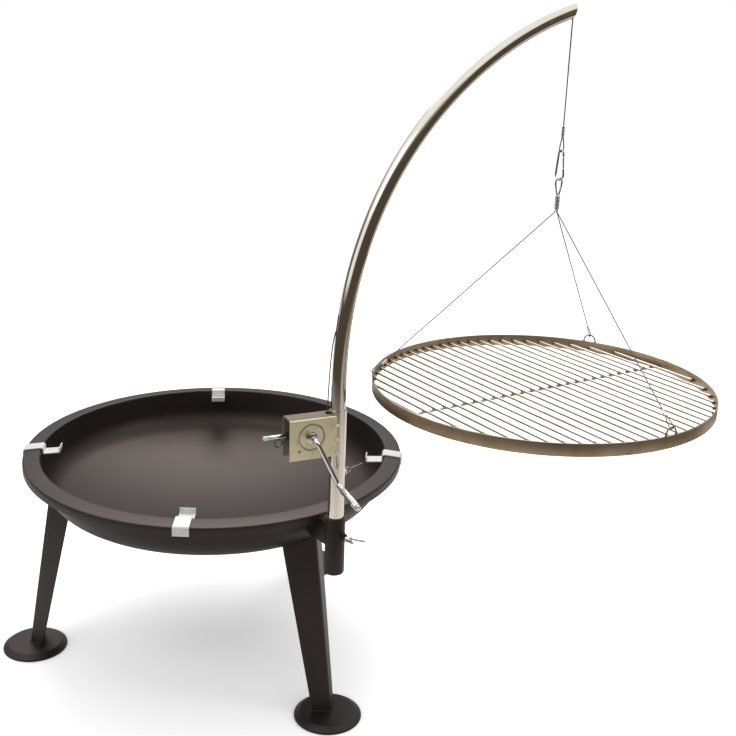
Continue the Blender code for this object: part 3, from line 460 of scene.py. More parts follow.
def yellow_zinc():
    """Olive zinc on the winch channel, with painted shade inside the fold and a painted dark reflection
    on its top.
    """
    made = Finish("yellow_zinc", "yellow_zinc")
    spot = made.place()
    clouds = made.cloud(spot, 34, 5, 0.65)
    other = made.cloud(made.place((1.3, 0.8, 1.1)), 61, 3)
    grain = made.cloud(spot, 800, 2)
    tone = made.node("ValToRGB", {"stops": [(0.28, (0.68, 0.61, 0.37)), (0.47, (0.93, 0.83, 0.53)),
                                            (0.66, (0.90, 0.74, 0.57))]}, {"Fac": clouds})
    tone = made.mix(other.step(0.55, 0.75) * 0.5, tone, (0.50, 0.54, 0.42))
    row_x, row_y, height = (made.along(spot, axis) for axis in range(3))
    mast_x, mast_y = MAST.translation.xy
    back = (row_y - mast_y) * cos(ARM_ANGLE) - (row_x - mast_x) * sin(ARM_ANGLE)
    # Painted shade between the front and back plates, inside the channel, and a painted dark reflection
    # on the top face away from its bends: dark olive, less metallic and rougher there.
    between = back.step(PLATE_FRONT + 0.0017, PLATE_FRONT + 0.0024)
    between = between * (1 - back.step(PLATE_BACK - 0.0012, PLATE_BACK - 0.0004))
    top = height.step(PLATE_TOP - 0.0009, PLATE_TOP - 0.0003)
    painted_dark = between.math("MAXIMUM", between, top * back.step(PLATE_FRONT + 0.0010, PLATE_FRONT + 0.0020)
                        * (1 - back.step(PLATE_BACK - 0.0030, PLATE_BACK - 0.0020)))
    tone = made.mix(painted_dark * 0.82, tone, (0.060, 0.056, 0.036))
    made.set(base_color=tone, metallic=0.92 - 0.75 * painted_dark, roughness=0.34 + 0.16 * clouds + 0.2 * painted_dark)
    return made.bump(grain, 0.15, 0.0002)


def grate_steel(name, colour, dark, rough):
    made = Finish(name, "grate_stainless")
    lines = made.cloud(made.place((9, 1400, 1), "UV"), 1, 2)
    stain = made.cloud(made.place(), 17, 5, 0.6)
    tone = made.mix(stain.step(0.35, 0.72), colour, dark)
    made.set(base_color=tone, metallic=1.0, roughness=rough + 0.12 * lines + 0.12 * stain)
    return made.bump(lines, 0.06, 0.0002)


def cable_steel():
    made = Finish("steel_cable", "steel_cable")
    strands = made.cloud(made.place((40, 4000, 1), "UV"), 1, 2)
    tone = made.mix(strands.step(0.3, 0.7), (0.11, 0.11, 0.105), (0.26, 0.26, 0.25))
    return made.set(base_color=tone, metallic=1.0, roughness=0.30 + 0.15 * strands)


def weld_metal():
    made = Finish("weld_metal", "bright_steel")
    heat = made.cloud(made.place(), 260, 3)
    tone = made.node("ValToRGB", {"stops": [(0.35, (0.70, 0.66, 0.55)), (0.55, (0.58, 0.47, 0.34)),
                                            (0.70, (0.36, 0.34, 0.40))]}, {"Fac": heat})
    return made.set(base_color=tone, metallic=1.0, roughness=0.22 + 0.2 * heat)


def painted_highlight_bead():
    """Weld metal on the winch, painted near-white and barely metallic: a painted highlight that makes it
    read brighter than the tube round it.
    """
    made = Finish("painted_highlight_bead", "bright_steel")
    ripple = made.cloud(made.place(), 900, 3)
    return made.set(base_color=made.mix(ripple, (0.95, 0.94, 0.90), (0.70, 0.68, 0.62)),
                    metallic=0.25, roughness=0.20 + 0.15 * ripple)


def dark_steel():
    made = Finish("dark_steel", "dark_steel")
    spot = made.place()
    clouds = made.cloud(spot, 120, 4)
    grain = made.cloud(spot, 900, 2)
    made.set(base_color=made.mix(clouds.step(0.4, 0.7), (0.13, 0.12, 0.11), (0.24, 0.22, 0.20)),
             metallic=0.9, roughness=0.32 + 0.15 * clouds)
    return made.bump(grain, 0.15, 0.0002)


PAINT = heat_paint()
TUBE = polished_tube("polished_tube", (0.89, 0.83, 0.74), 0.05, 0.13)
WARM = polished_tube("warm_tube", (0.92, 0.81, 0.68), 0.05, 0.13)
CHROME = polished_tube("crank_chrome", (0.78, 0.78, 0.77), 0.05, 0.14)
BRIGHT = plated("bright_zinc", "bright_steel", (0.80, 0.80, 0.79), (0.70, 0.70, 0.70), 0.20, 0.32)
# Bright zinc sheet, painted near-white and barely metallic: a painted reflection of the white studio.
CLIP = plated("clip_sheet", "bright_steel", (0.93, 0.92, 0.88), (0.84, 0.83, 0.79), 0.30, 0.42, 0.15)
HARD = plated("polished_zinc", "bright_steel", (0.74, 0.73, 0.71), (0.50, 0.49, 0.47), 0.05, 0.12)
OLIVE = plated("olive_zinc", "bright_steel", (0.46, 0.44, 0.28), (0.38, 0.36, 0.24), 0.30, 0.42)
TINTED = plated("heat_tinted_wire", "bright_steel", (0.32, 0.25, 0.18), (0.22, 0.17, 0.12), 0.20, 0.34)
SCUFFED = plated("scuffed_zinc", "yellow_zinc", (0.36, 0.34, 0.22), (0.56, 0.52, 0.34), 0.34, 0.48)
# A darker copy of the polished zinc for the wing screw on the arm: painted shade.
SHADED = plated("shaded_zinc", "bright_steel", (0.34, 0.34, 0.33), (0.15, 0.15, 0.145), 0.06, 0.14)
BURNT = plated("burnt_weld", "grate_stainless", (0.16, 0.12, 0.085), (0.085, 0.065, 0.050), 0.25, 0.40)
YELLOW = yellow_zinc()
DARK = dark_steel()
BAND = grate_steel("grate_band_steel", (0.50, 0.39, 0.26), (0.36, 0.28, 0.18), 0.27)
BAR = grate_steel("grate_bar_steel", (0.56, 0.51, 0.44), (0.42, 0.37, 0.30), 0.18)
CABLE = cable_steel()
WELD = weld_metal()
BEAD = painted_highlight_bead()


# Forms
def rounded(points, radius, steps=8):
    """The route through points with an arc of the given radius at each corner."""
    points = [Vector(p) for p in points]
    route = [points[0]]
    for before, corner, after in zip(points, points[1:], points[2:]):
        a = (before - corner).normalized()
        b = (after - corner).normalized()
        half = acos(max(-1.0, min(1.0, a.dot(b)))) / 2
        centre = corner + (a + b).normalized() * radius / sin(half)
        start = corner + a * radius / tan(half) - centre
        end = corner + b * radius / tan(half) - centre
        sweep = pi - 2 * half
        for k in range(steps + 1):
            t = k / steps
            spoke = start * sin((1 - t) * sweep) + end * sin(t * sweep)
            route.append(centre + spoke / sin(sweep))
    route.append(points[-1])
    return route


def smooth_route(points, steps):
    """Points along a smooth curve through the given ones."""
    points = [Vector(p) for p in points]
    padded = [2 * points[0] - points[1], *points, 2 * points[-1] - points[-2]]
    route = []
    for p0, p1, p2, p3 in zip(padded, padded[1:], padded[2:], padded[3:]):
        for k in range(steps):
            t = k / steps
            route.append(0.5 * (2 * p1 + (p2 - p0) * t + (2 * p0 - 5 * p1 + 4 * p2 - p3) * t * t
                                + (3 * p1 - p0 - 3 * p2 + p3) * t ** 3))
    route.append(points[-1])
    return route


def even_steps(route, gap):
    """The same route with points at an even gap, for a cable's twist."""
    steps = [0.0]
    for a, b in zip(route, route[1:]):
        steps.append(steps[-1] + (b - a).length)
    count = max(2, round(steps[-1] / gap))
    points, k = [], 0
    for i in range(count + 1):
        want = steps[-1] * i / count
        while k < len(route) - 2 and steps[k + 1] < want:
            k += 1
        share = (want - steps[k]) / max(steps[k + 1] - steps[k], 1e-9)
        points.append(route[k].lerp(route[k + 1], min(share, 1.0)))
    return points


def offset_line(points, distance):
    """A flat line moved to its right by a distance, with even corners."""
    moved = []
    for i, (x, z) in enumerate(points):
        sides = []
        for a, b in ((i - 1, i), (i, i + 1)):
            if a >= 0 and b < len(points):
                run = Vector((points[b][0] - points[a][0], points[b][1] - points[a][1]))
                if run.length > 1e-9:
                    sides.append(Vector((run.y, -run.x)).normalized())
        way = sum(sides, Vector((0, 0))).normalized()
        stretch = 1 / max(way.dot(sides[0]), 0.3)
        moved.append((x + way.x * distance * stretch, z + way.y * distance * stretch))
    return moved


def loft(rings, cyclic=False, caps=True):
    """A closed skin through rings of equally many points, with a map in metres."""
    work = bmesh.new()
    chart = work.loops.layers.uv.new("UVMap")
    rows = [[work.verts.new(p) for p in ring] for ring in rings]
    count = len(rings[0])
    along = [0.0]
    for a, b in zip(rings, rings[1:] + rings[:1]):
        along.append(along[-1] + max((q - p).length for p, q in zip(a, b)))
    around = [0.0]
    for p, q in zip(rings[0], rings[0][1:] + rings[0][:1]):
        around.append(around[-1] + (q - p).length)
    if around[-1] < 1e-6:
        around = [0.001 * k for k in range(count + 1)]
    for i in range(len(rows) if cyclic else len(rows) - 1):
        a, b = rows[i], rows[(i + 1) % len(rows)]
        for j in range(count):
            k = (j + 1) % count
            face = work.faces.new((a[j], a[k], b[k], b[j]))
            spots = ((i, j), (i, j + 1), (i + 1, j + 1), (i + 1, j))
            for corner, (m, n) in zip(face.loops, spots):
                corner[chart].uv = (along[m], around[n])
    if caps and not cyclic:
        work.faces.new(rows[0][::-1])
        work.faces.new(rows[-1])
    bmesh.ops.remove_doubles(work, verts=work.verts, dist=1e-6)
    bmesh.ops.recalc_face_normals(work, faces=work.faces)
    return work


def lathe(profile, steps=48, closed=False):
    """A turned shape. The (r, z) profile ends on the axis unless it is closed."""
    points = list(profile)
    if not closed:
        points = [(0, profile[0][1]), *profile, (0, profile[-1][1])]
    return loft([[Vector((r * cos(a), r * sin(a), z)) for r, z in points]
                 for a in round_turn(steps)], cyclic=True)


def rounded_profile(points, radius, steps=4):
    """A closed (r, z) profile of straight sides with all its corners rounded."""
    ring = [Vector((r, 0, z)) for r, z in points]
    ring = [(ring[-1] + ring[0]) / 2, *ring, (ring[-1] + ring[0]) / 2]
    return side_view(rounded(ring, radius, steps)[:-1])


def along_path(path, cyclic=False):
    """A pair of side directions at each point of a path, carried without twist."""
    count = len(path)
    tangents = []
    for i in range(count):
        a = path[(i - 1) % count] if cyclic or i else path[0]
        b = path[(i + 1) % count] if cyclic or i < count - 1 else path[-1]
        tangents.append((b - a).normalized())
    side = tangents[0].orthogonal().normalized()
    frames = []
    for tangent in tangents:
        side = (side - tangent * side.dot(tangent)).normalized()
        frames.append((side, tangent.cross(side)))
    return frames


def ring_at(centre, sides, radius, count, twist=0.0, lobes=0):
    side, other = sides
    ring = []
    for a in round_turn(count):
        r = radius * (1 - 0.16 * (1 - abs(cos(lobes * a / 2)))) if lobes else radius
        ring.append(centre + (side * cos(a + twist) + other * sin(a + twist)) * r)
    return ring


def tube(path, radius, count=16, cyclic=False, bore=0.0):
    path = [Vector(p) for p in path]
    frames = along_path(path, cyclic)
    rings = [ring_at(p, f, radius, count) for p, f in zip(path, frames)]
    if bore:
        rings += [ring_at(p, f, bore, count) for p, f in zip(reversed(path), reversed(frames))]
        return loft(rings, cyclic=True)
    return loft(rings, cyclic)


def cable(route, radius, sides=18, gap=0.0016):
    """Six strands laid round each other, as one skin with six lobes."""
    path = even_steps([Vector(p) for p in route], gap)
    rings = []
    gone = 0.0
    for i, (p, f) in enumerate(zip(path, along_path(path))):
        if i:
            gone += (p - path[i - 1]).length
        rings.append(ring_at(p, f, radius, sides, 2 * pi * gone / CABLE_LAY, 6))
    return loft(rings)


def sheet(line, width, thickness):
    """A bent strip: a line in XZ, the sheet on its right side, and its width along Y."""
    inner = offset_line(line, thickness)
    rings = []
    for (x, z), (u, w) in zip(line, inner):
        rings.append([Vector((x, -width / 2, z)), Vector((x, width / 2, z)),
                      Vector((u, width / 2, w)), Vector((u, -width / 2, w))])
    return loft(rings)


def plate(outline, thickness, holes=(), edge=0.0):
    """A flat outline in XY with round holes, given as (x, y, radius, points)."""
    curve = bpy.data.curves.new("outline", "CURVE")
    curve.dimensions = "2D"
    curve.fill_mode = "BOTH"
    curve.extrude = thickness / 2 - edge
    curve.bevel_depth = edge
    curve.bevel_resolution = 1
    curve.offset = -edge
    rings = [outline]
    for x, y, radius, count in holes:
        rings.append([(x + radius * cos(a), y + radius * sin(a)) for a in round_turn(count)])
    for ring in rings:
        line = curve.splines.new("POLY")
        line.points.add(len(ring) - 1)
        for spot, (x, y) in zip(line.points, ring):
            spot.co = (x, y, 0, 1)
        line.use_cyclic_u = True
    item = bpy.data.objects.new("outline", curve)
    bpy.context.collection.objects.link(item)
    work = mesh_of(item)
    bmesh.ops.remove_doubles(work, verts=work.verts, dist=1e-6)
    return work


def mesh_of(item):
    """The mesh that an object makes, taken out of the scene."""
    graph = bpy.context.evaluated_depsgraph_get()
    mesh = bpy.data.meshes.new_from_object(item.evaluated_get(graph))
    work = bmesh.new()
    work.from_mesh(mesh)
    bpy.data.objects.remove(item, do_unlink=True)
    bpy.data.meshes.remove(mesh)
    return work


def join(*works):
    """Several skins as one, kept as they are."""
    whole = works[0]
    for work in works[1:]:
        mesh = bpy.data.meshes.new("join")
        work.to_mesh(mesh)
        work.free()
        whole.from_mesh(mesh)
        bpy.data.meshes.remove(mesh)
    return whole


def moved(work, where):
    bmesh.ops.transform(work, matrix=where, verts=work.verts)
    return work


def loose_object(name, work):
    mesh = bpy.data.meshes.new(name)
    work.to_mesh(mesh)
    work.free()
    item = bpy.data.objects.new(name, mesh)
    bpy.context.collection.objects.link(item)
    return item


def carved(work, *tools, operation="DIFFERENCE"):
    """A skin with others cut out of it, or joined to it."""
    item = loose_object("blank", work)
    cutters = [loose_object("tool", tool) for tool in tools]
    for cutter in cutters:
        step = item.modifiers.new("Cut", "BOOLEAN")
        step.operation = operation
        step.solver = "EXACT"
        step.object = cutter
    bpy.context.view_layer.update()
    made = mesh_of(item)
    for cutter in cutters:
        bpy.data.objects.remove(cutter, do_unlink=True)
    return made


def rod(radius, low, high, count=32):
    """A plain round bar along Z, for cutting holes."""
    return tube([(0, 0, low), (0, 0, high)], radius, count)


def pin(radius, low, high, edge=0.0004, steps=32):
    """A round pin along Z with eased ends."""
    return lathe([(radius - edge, high), (radius - edge * 0.3, high - edge * 0.3),
                  (radius, high - edge), (radius, low + edge), (radius - edge * 0.3, low + edge * 0.3),
                  (radius - edge, low)], steps)


def washer(radius, bore, low, high, edge=0.0003, steps=40):
    return lathe(rounded_profile([(radius, high), (radius, low), (bore, low), (bore, high)],
                                 edge, 2), steps, closed=True)


def hex_nut(radius, bore, height):
    """A six-sided nut, its corners eased by a turned cone at both ends."""
    ring = [(radius * cos(k * pi / 3), radius * sin(k * pi / 3)) for k in range(6)]
    blank = plate(ring, height, [(0, 0, bore, 24)])
    half = height / 2
    flat = radius * cos(pi / 6)
    ease = lathe([(flat, half + 1e-5), (radius + 1e-4, half - (radius - flat) * 0.6),
                  (radius + 1e-4, -half + (radius - flat) * 0.6), (flat, -half - 1e-5)], 48)
    return carved(blank, ease, operation="INTERSECT")


def bead(path, radius, ripple=0.0016):
    """A weld bead: a low ridge with a ripple every millimetre or two."""
    path = even_steps([Vector(p) for p in path], ripple / 4)
    rings = []
    for i, (p, f) in enumerate(zip(path, along_path(path))):
        swell = 0.88 + 0.12 * abs(sin(pi * i / 4))
        end = min(i, len(path) - 1 - i) / 3
        rings.append(ring_at(p, f, radius * swell * min(1.0, 0.35 + end * 0.65), 10))
    return loft(rings)


def dot(centre, radius, squash=0.55):
    """A weld spot."""
    work = bmesh.new()
    bmesh.ops.create_uvsphere(work, u_segments=12, v_segments=8, radius=radius)
    bmesh.ops.transform(work, matrix=shift(*centre) @ Matrix.Diagonal((1, 1, squash, 1)),
                        verts=work.verts)
    return work


def piece(name, work, where, finish, body, *nodes, sharp=35, ease=0.0):
    """A finished piece of the grill: placed, shaded, and riding on its body, if it has one."""
    mesh = bpy.data.meshes.new(name)
    work.to_mesh(mesh)
    work.free()
    mesh.transform(where)
    mesh.materials.append(finish.material)
    mesh.polygons.foreach_set("material_index", [0] * len(mesh.polygons))
    mesh.shade_smooth()
    mesh.set_sharp_from_angle(angle=radians(sharp))
    item = bpy.data.objects.new(name, mesh)
    bpy.context.collection.objects.link(item)
    if ease:
        step = item.modifiers.new("Eased edges", "BEVEL")
        step.width = ease
        step.segments = 2
        step.limit_method = "ANGLE"
        step.angle_limit = radians(40)
    if body:
        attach(item, body)
    if nodes:
        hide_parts(*nodes)
    return item


# Bowl, legs and socket
def knuckle_circles():
    """Centre of the crown, and centre and start of the bend into the wall."""
    inner_top = BOWL_RADIUS - BAND_WIDTH
    crown = CROWN_RADIUS - BOWL_SHEET
    knuckle = KNUCKLE_RADIUS - BOWL_SHEET
    centre_z = BOWL_BOTTOM_Z + CROWN_RADIUS
    wall_foot = inner_top - WALL_HEIGHT / tan(WALL_SLOPE)
    crown_angle = asin((wall_foot - knuckle * sin(WALL_SLOPE)) / (crown - knuckle))
    bend_r = (crown - knuckle) * sin(crown_angle)
    bend_z = centre_z - (crown - knuckle) * cos(crown_angle)
    return crown, knuckle, centre_z, crown_angle, bend_r, bend_z


def bowl_line(offset, fine=24):
    """Points (r, z) of the bowl's inner face from the axis to the top of its wall."""
    crown, knuckle, centre_z, crown_angle, bend_r, bend_z = knuckle_circles()
    points = []
    for k in range(fine):
        a = crown_angle * k / fine
        points.append(((crown + offset) * sin(a), centre_z - (crown + offset) * cos(a)))
    for k in range(fine // 2 + 1):
        a = crown_angle + (WALL_SLOPE - crown_angle) * k / (fine // 2)
        points.append((bend_r + (knuckle + offset) * sin(a), bend_z - (knuckle + offset) * cos(a)))
    last_r, last_z = points[-1]
    top_z = RIM_Z + BAND_RISE - WALL_STOP
    points.append((last_r + (top_z - last_z) / tan(WALL_SLOPE), top_z))
    return points


def under_height(r, gap):
    """Height of the bowl's underside at a radius, less a gap along its normal."""
    crown, knuckle, centre_z, crown_angle, bend_r, bend_z = knuckle_circles()
    offset = BOWL_SHEET + gap
    if r < (crown + offset) * sin(crown_angle):
        return centre_z - sqrt((crown + offset) ** 2 - r * r)
    return bend_z - sqrt(max((knuckle + offset) ** 2 - (r - bend_r) ** 2, 0))


def make_bowl():
    inner = BOWL_RADIUS - BAND_WIDTH
    slope = BAND_RISE / (BAND_WIDTH - BAND_OUTER_EDGE - BAND_INNER_EDGE)
    top = RIM_Z + BAND_RISE + slope * BAND_INNER_EDGE
    edge = RIM_Z - slope * BAND_OUTER_EDGE
    wall = bowl_line(0)
    corner = rounded([(wall[-1][0], 0, wall[-1][1]), (inner + 0.0006, 0, top),
                      (BOWL_RADIUS, 0, edge), (BOWL_RADIUS, 0, RIM_Z - SKIRT_DROP)], RIM_BEND, 8)
    line = wall[:-1] + side_view(corner)
    back = offset_line(line, BOWL_SHEET)
    back[0] = (0, back[0][1])
    skirt = back[-1]
    inward, down = SKIRT_LIP
    line += [(BOWL_RADIUS - inward, skirt[1] - down), (skirt[0] + inward, skirt[1] - down)]
    skin = lathe(line + back[::-1], BOWL_STEPS, closed=True)
    piece("fire_bowl", skin, BASE, PAINT, "stand", "bowl", sharp=50)


def leg_line(face, count=10):
    """The fold's outer face: two flats at a right angle with a rounded edge at +X."""
    reach = face / sqrt(2)
    centre = -LEG_FOLD_RADIUS * sqrt(2)
    points = [(-reach, -reach)]
    for a in spaced(-pi / 4, pi / 4, count):
        points.append((centre + LEG_FOLD_RADIUS * cos(a), LEG_FOLD_RADIUS * sin(a)))
    return points + [(-reach, reach)]


def leg_ring(height):
    low = FOOT_HEIGHT - LEG_SINK
    share = (height - low) / (LEG_TOP_Z - low)
    fold = LEG_FOLD_BOTTOM + (LEG_FOLD_TOP - LEG_FOLD_BOTTOM) * share
    outer = leg_line(LEG_FACE_BOTTOM + (LEG_FACE_TOP - LEG_FACE_BOTTOM) * share)
    inner = offset_line(outer, -LEG_SHEET)
    return [Vector((fold + x, y, height)) for x, y in outer + inner[::-1]]


def fine_steps(points, length):
    """The route with more points on its first and last stretch, as many on every leg_ring."""
    count = round(LEG_FACE_TOP / length)
    first = [points[0].lerp(points[1], k / count) for k in range(count)]
    last = [points[-2].lerp(points[-1], k / count) for k in range(1, count + 1)]
    return first + points[1:-1] + last


def make_legs():
    plug_line = bowl_line(BOWL_SHEET + SEAT, 40)
    plug = [(plug_line[-1][0], RIM_Z + 0.05), *reversed(plug_line)]
    foot = FOOT_HEIGHT + SEAT
    ends = (leg_ring(foot), leg_ring(LEG_TOP_Z))
    count = len(ends[0]) // 2
    seam = []
    for a, b in zip(*(fine_steps(end[:count], LEG_WELD_STEP) for end in ends)):
        low, high = 0.0, 1.0
        for _ in range(30):
            t = (low + high) / 2
            p = a.lerp(b, t)
            low, high = (t, high) if p.z < under_height(p.xy.length, LEG_WELD_GAP) else (low, t)
        seam.append(a.lerp(b, low))
    base_line = [p + Vector((0.0004, 0, 0.0008)) for p in ends[0][:count]]
    for number, angle in enumerate(LEG_ANGLES, 1):
        where = BASE @ turn(angle)
        leg = carved(loft(list(ends)), lathe(plug, BOWL_STEPS))
        piece(f"folded_leg_{number}", leg, where, PAINT, "stand", f"leg_{number}", ease=0.0005)
        piece(f"leg_weld_{number}", bead(seam, LEG_WELD), where, PAINT, "stand")
        piece(f"foot_weld_{number}", bead(base_line, FOOT_WELD), where, PAINT, "stand")


def make_feet():
    profile = side_view(rounded([(r, 0, z) for r, z in FOOT_LINE], FOOT_EDGE, 5))
    for number, spot in enumerate(FEET, 1):
        piece(f"foot_disc_{number}", lathe(profile, 96), BASE @ shift(*spot), PAINT, "stand",
              f"foot_plate_{number}")


def screw_hole(height, angle):
    """A tool for the hole of a wing screw, and the turn that lays +Z along it."""
    across = turn(angle) @ turn(pi / 2, "Y")
    return moved(rod(SCREW_RADIUS + SEAT, *SCREW_HOLE), shift(0, 0, height) @ across), across


def welded_nut(name, node, place, reach, body, finish, weld_finish, lift, weld):
    """The nut of a wing screw, out along +Z on a tube's wall, and the weld round its foot."""
    place = place @ shift(0, 0, reach + SEAT + NUT_HEIGHT / 2)
    nut = hex_nut(NUT_RADIUS, SCREW_RADIUS + SEAT, NUT_HEIGHT)
    piece(name, nut, place, finish, body, node, ease=0.0003)
    ring = [polar(NUT_RADIUS * 0.98, a, lift - NUT_HEIGHT / 2) for a in spaced(0, 2 * pi, 24)]
    piece(f"{name}_weld", bead(ring, weld), place, weld_finish, body)


def make_socket():
    line = [(SOCKET_BORE, SOCKET_BOTTOM_Z + SOCKET_FLOOR)]
    line += [(SOCKET_BORE + r, SOCKET_TOP_Z - z) for r, z in SOCKET_LIP]
    line += [(SOCKET_RADIUS - r, SOCKET_TOP_Z - z) for r, z in reversed(SOCKET_LIP)]
    for a in spaced(0, pi / 2, 8):
        line.append((SOCKET_RADIUS - SOCKET_EDGE + SOCKET_EDGE * cos(a),
                     SOCKET_BOTTOM_Z + SOCKET_EDGE - SOCKET_EDGE * sin(a)))
    spot = BASE @ shift(*MAST_SPOT)
    hole, across = screw_hole(SOCKET_SCREW_Z, SOCKET_SCREW_ANGLE)
    piece("mast_cup", carved(lathe(line, 72), hole), spot, PAINT, "stand", "mast_socket")
    place = spot @ shift(0, 0, SOCKET_SCREW_Z) @ across
    welded_nut("cup_nut", "socket_nut", place, SOCKET_RADIUS, "stand", PAINT, PAINT, 0.0007, 0.0011)

    # The web keeps its solid, and gets its welds to the cup and to the bowl
    edge = REACH - SOCKET_RADIUS - SEAT
    plane = BASE @ turn(MAST_ANGLE) @ UPRIGHT
    for side in (-1, 1):
        name = "left" if side < 0 else "right"
        line = [(edge - 0.0004, z, side * WEB_SIDE) for z in spaced(*WEB_Z, 20)]
        piece(f"web_weld_cup_{name}", bead(line, 0.0020), plane, PAINT, "stand")
        wall = [Vector((r, z, side * WEB_SIDE)) for r, z in bowl_line(BOWL_SHEET + 0.0006)]
        line = [p for p in even_steps(wall, 0.001) if WEB_Z[0] - 0.0005 < p.y < WEB_Z[1]]
        piece(f"web_weld_bowl_{name}", bead(line, 0.0018), plane, PAINT, "stand")


# Wing screws
def wing_screw():
    """The screw's tip at the origin, its thread along +Z, and its two wings in XZ."""
    hub = lathe([(0.0040, 0.0218), (0.0047, 0.0214), (0.0053, 0.0206), (0.0070, 0.0127),
                 (0.0068, 0.0120), (0.0062, 0.0117), (0.0036, 0.0117)], 40)
    shank = lathe([(0.0035, 0.0120), (0.0035, 0.0008), (0.0028, 0.0)], 28)
    coil = [polar(0.00345, a, 0.0006 + THREAD_PITCH * a / (2 * pi))
            for a in spaced(0, 2 * pi * THREAD_TURNS, 20 * THREAD_TURNS)]
    thread = tube(coil, 0.0005, 6)
    right = [(0.0, 0.0135), (0.0075, 0.0150), (0.0120, 0.0225), (0.0165, 0.0300),
             (0.0210, 0.0327), (0.0225, 0.0360), (0.0214, 0.0390), (0.0185, 0.0398),
             (0.0150, 0.0382), (0.0105, 0.0320), (0.0062, 0.0240), (0.0, 0.0205)]
    inner = smooth_route([(x, z, 0) for x, z in right], 5)
    works = [hub, shank, thread]
    for side in (1, -1):
        outline = [(side * p.x, p.y) for p in inner]
        works.append(moved(plate(outline, WING_SHEET, edge=0.0009), UPRIGHT))
    return join(*works)


def make_screws():
    spot = BASE @ shift(*MAST_SPOT) @ shift(0, 0, SOCKET_SCREW_Z)
    level = spot @ turn(SOCKET_SCREW_ANGLE) @ turn(SOCKET_SCREW_ROLL, "X") @ turn(pi / 2, "Y")
    piece("cup_wing_screw", wing_screw(), level @ shift(0, 0, TUBE_RADIUS + SEAT), HARD,
          "socket_screw", "socket_wing_screw")
    spot = MAST @ shift(0, 0, MAST_SCREW_Z) @ turn(MAST_SCREW_ANGLE)
    level = spot @ turn(MAST_SCREW_ROLL, "X") @ turn(pi / 2, "Y")
    piece("arm_wing_screw", wing_screw(), level @ shift(0, 0, ARM_RADIUS + SEAT), SHADED,
          "mast_screw", "mast_wing_screw")
    place = spot @ turn(pi / 2, "Y")
    welded_nut("tube_nut", "mast_nut", place, TUBE_RADIUS, "mast", HARD, WELD, 0.0006, 0.0010)


# Mast and arm
def arm_point(t):
    start = Vector((0, 0, ARM_BEND_Z))
    lead = start + Vector((0, 0, ARM_HANDLES[0]))
    tail = ARM_END - ARM_HANDLES[1] * Vector((sin(ARM_END_SLOPE), 0, cos(ARM_END_SLOPE)))
    s = 1 - t
    return s ** 3 * start + 3 * s * s * t * lead + 3 * s * t * t * tail + t ** 3 * ARM_END


def make_mast():
    low = SOCKET_BOTTOM_Z + SOCKET_FLOOR + SEAT
    hole, _ = screw_hole(MAST_SCREW_Z, MAST_SCREW_ANGLE)
    blank = tube([(0, 0, low), (0, 0, TUBE_TOP_Z)], TUBE_RADIUS, 72, bore=TUBE_BORE)
    piece("mast_tube", carved(blank, hole), MAST, WARM, "mast", "lower_mast_tube", ease=0.00035)

    route = [Vector((0, 0, z)) for z in spaced(ARM_BOTTOM_Z, ARM_BEND_Z, 4)[:-1]]
    route += [arm_point(t) for t in spaced(0, 1, ARM_STEPS)]
    blank = tube(route, ARM_RADIUS, 64, bore=ARM_RADIUS - ARM_WALL)
    low, high = SLOT_Z
    half = SLOT_WIDTH / 2
    outline = [(half * cos(a), high - half + half * sin(a)) for a in spaced(0, pi, 10)]
    outline += [(-half * cos(a), low + half - half * sin(a)) for a in spaced(0, pi, 10)]
    slot = moved(plate(outline, 0.012), shift(-0.0055) @ turn(pi / 2) @ UPRIGHT)
    block = bmesh.new()
    bmesh.ops.create_cube(block, size=ARM_CUT_BLOCK)
    lean = Vector((cos(ARM_CUT_SLANT), 0, -sin(ARM_CUT_SLANT)))
    centre = ARM_CUT + lean * ARM_CUT_BLOCK / 2
    moved(block, shift(*centre) @ turn(ARM_CUT_SLANT, "Y"))
    piece("swing_arm", carved(blank, slot, block), MAST, TUBE, "mast", "curved_arm", ease=0.0002)


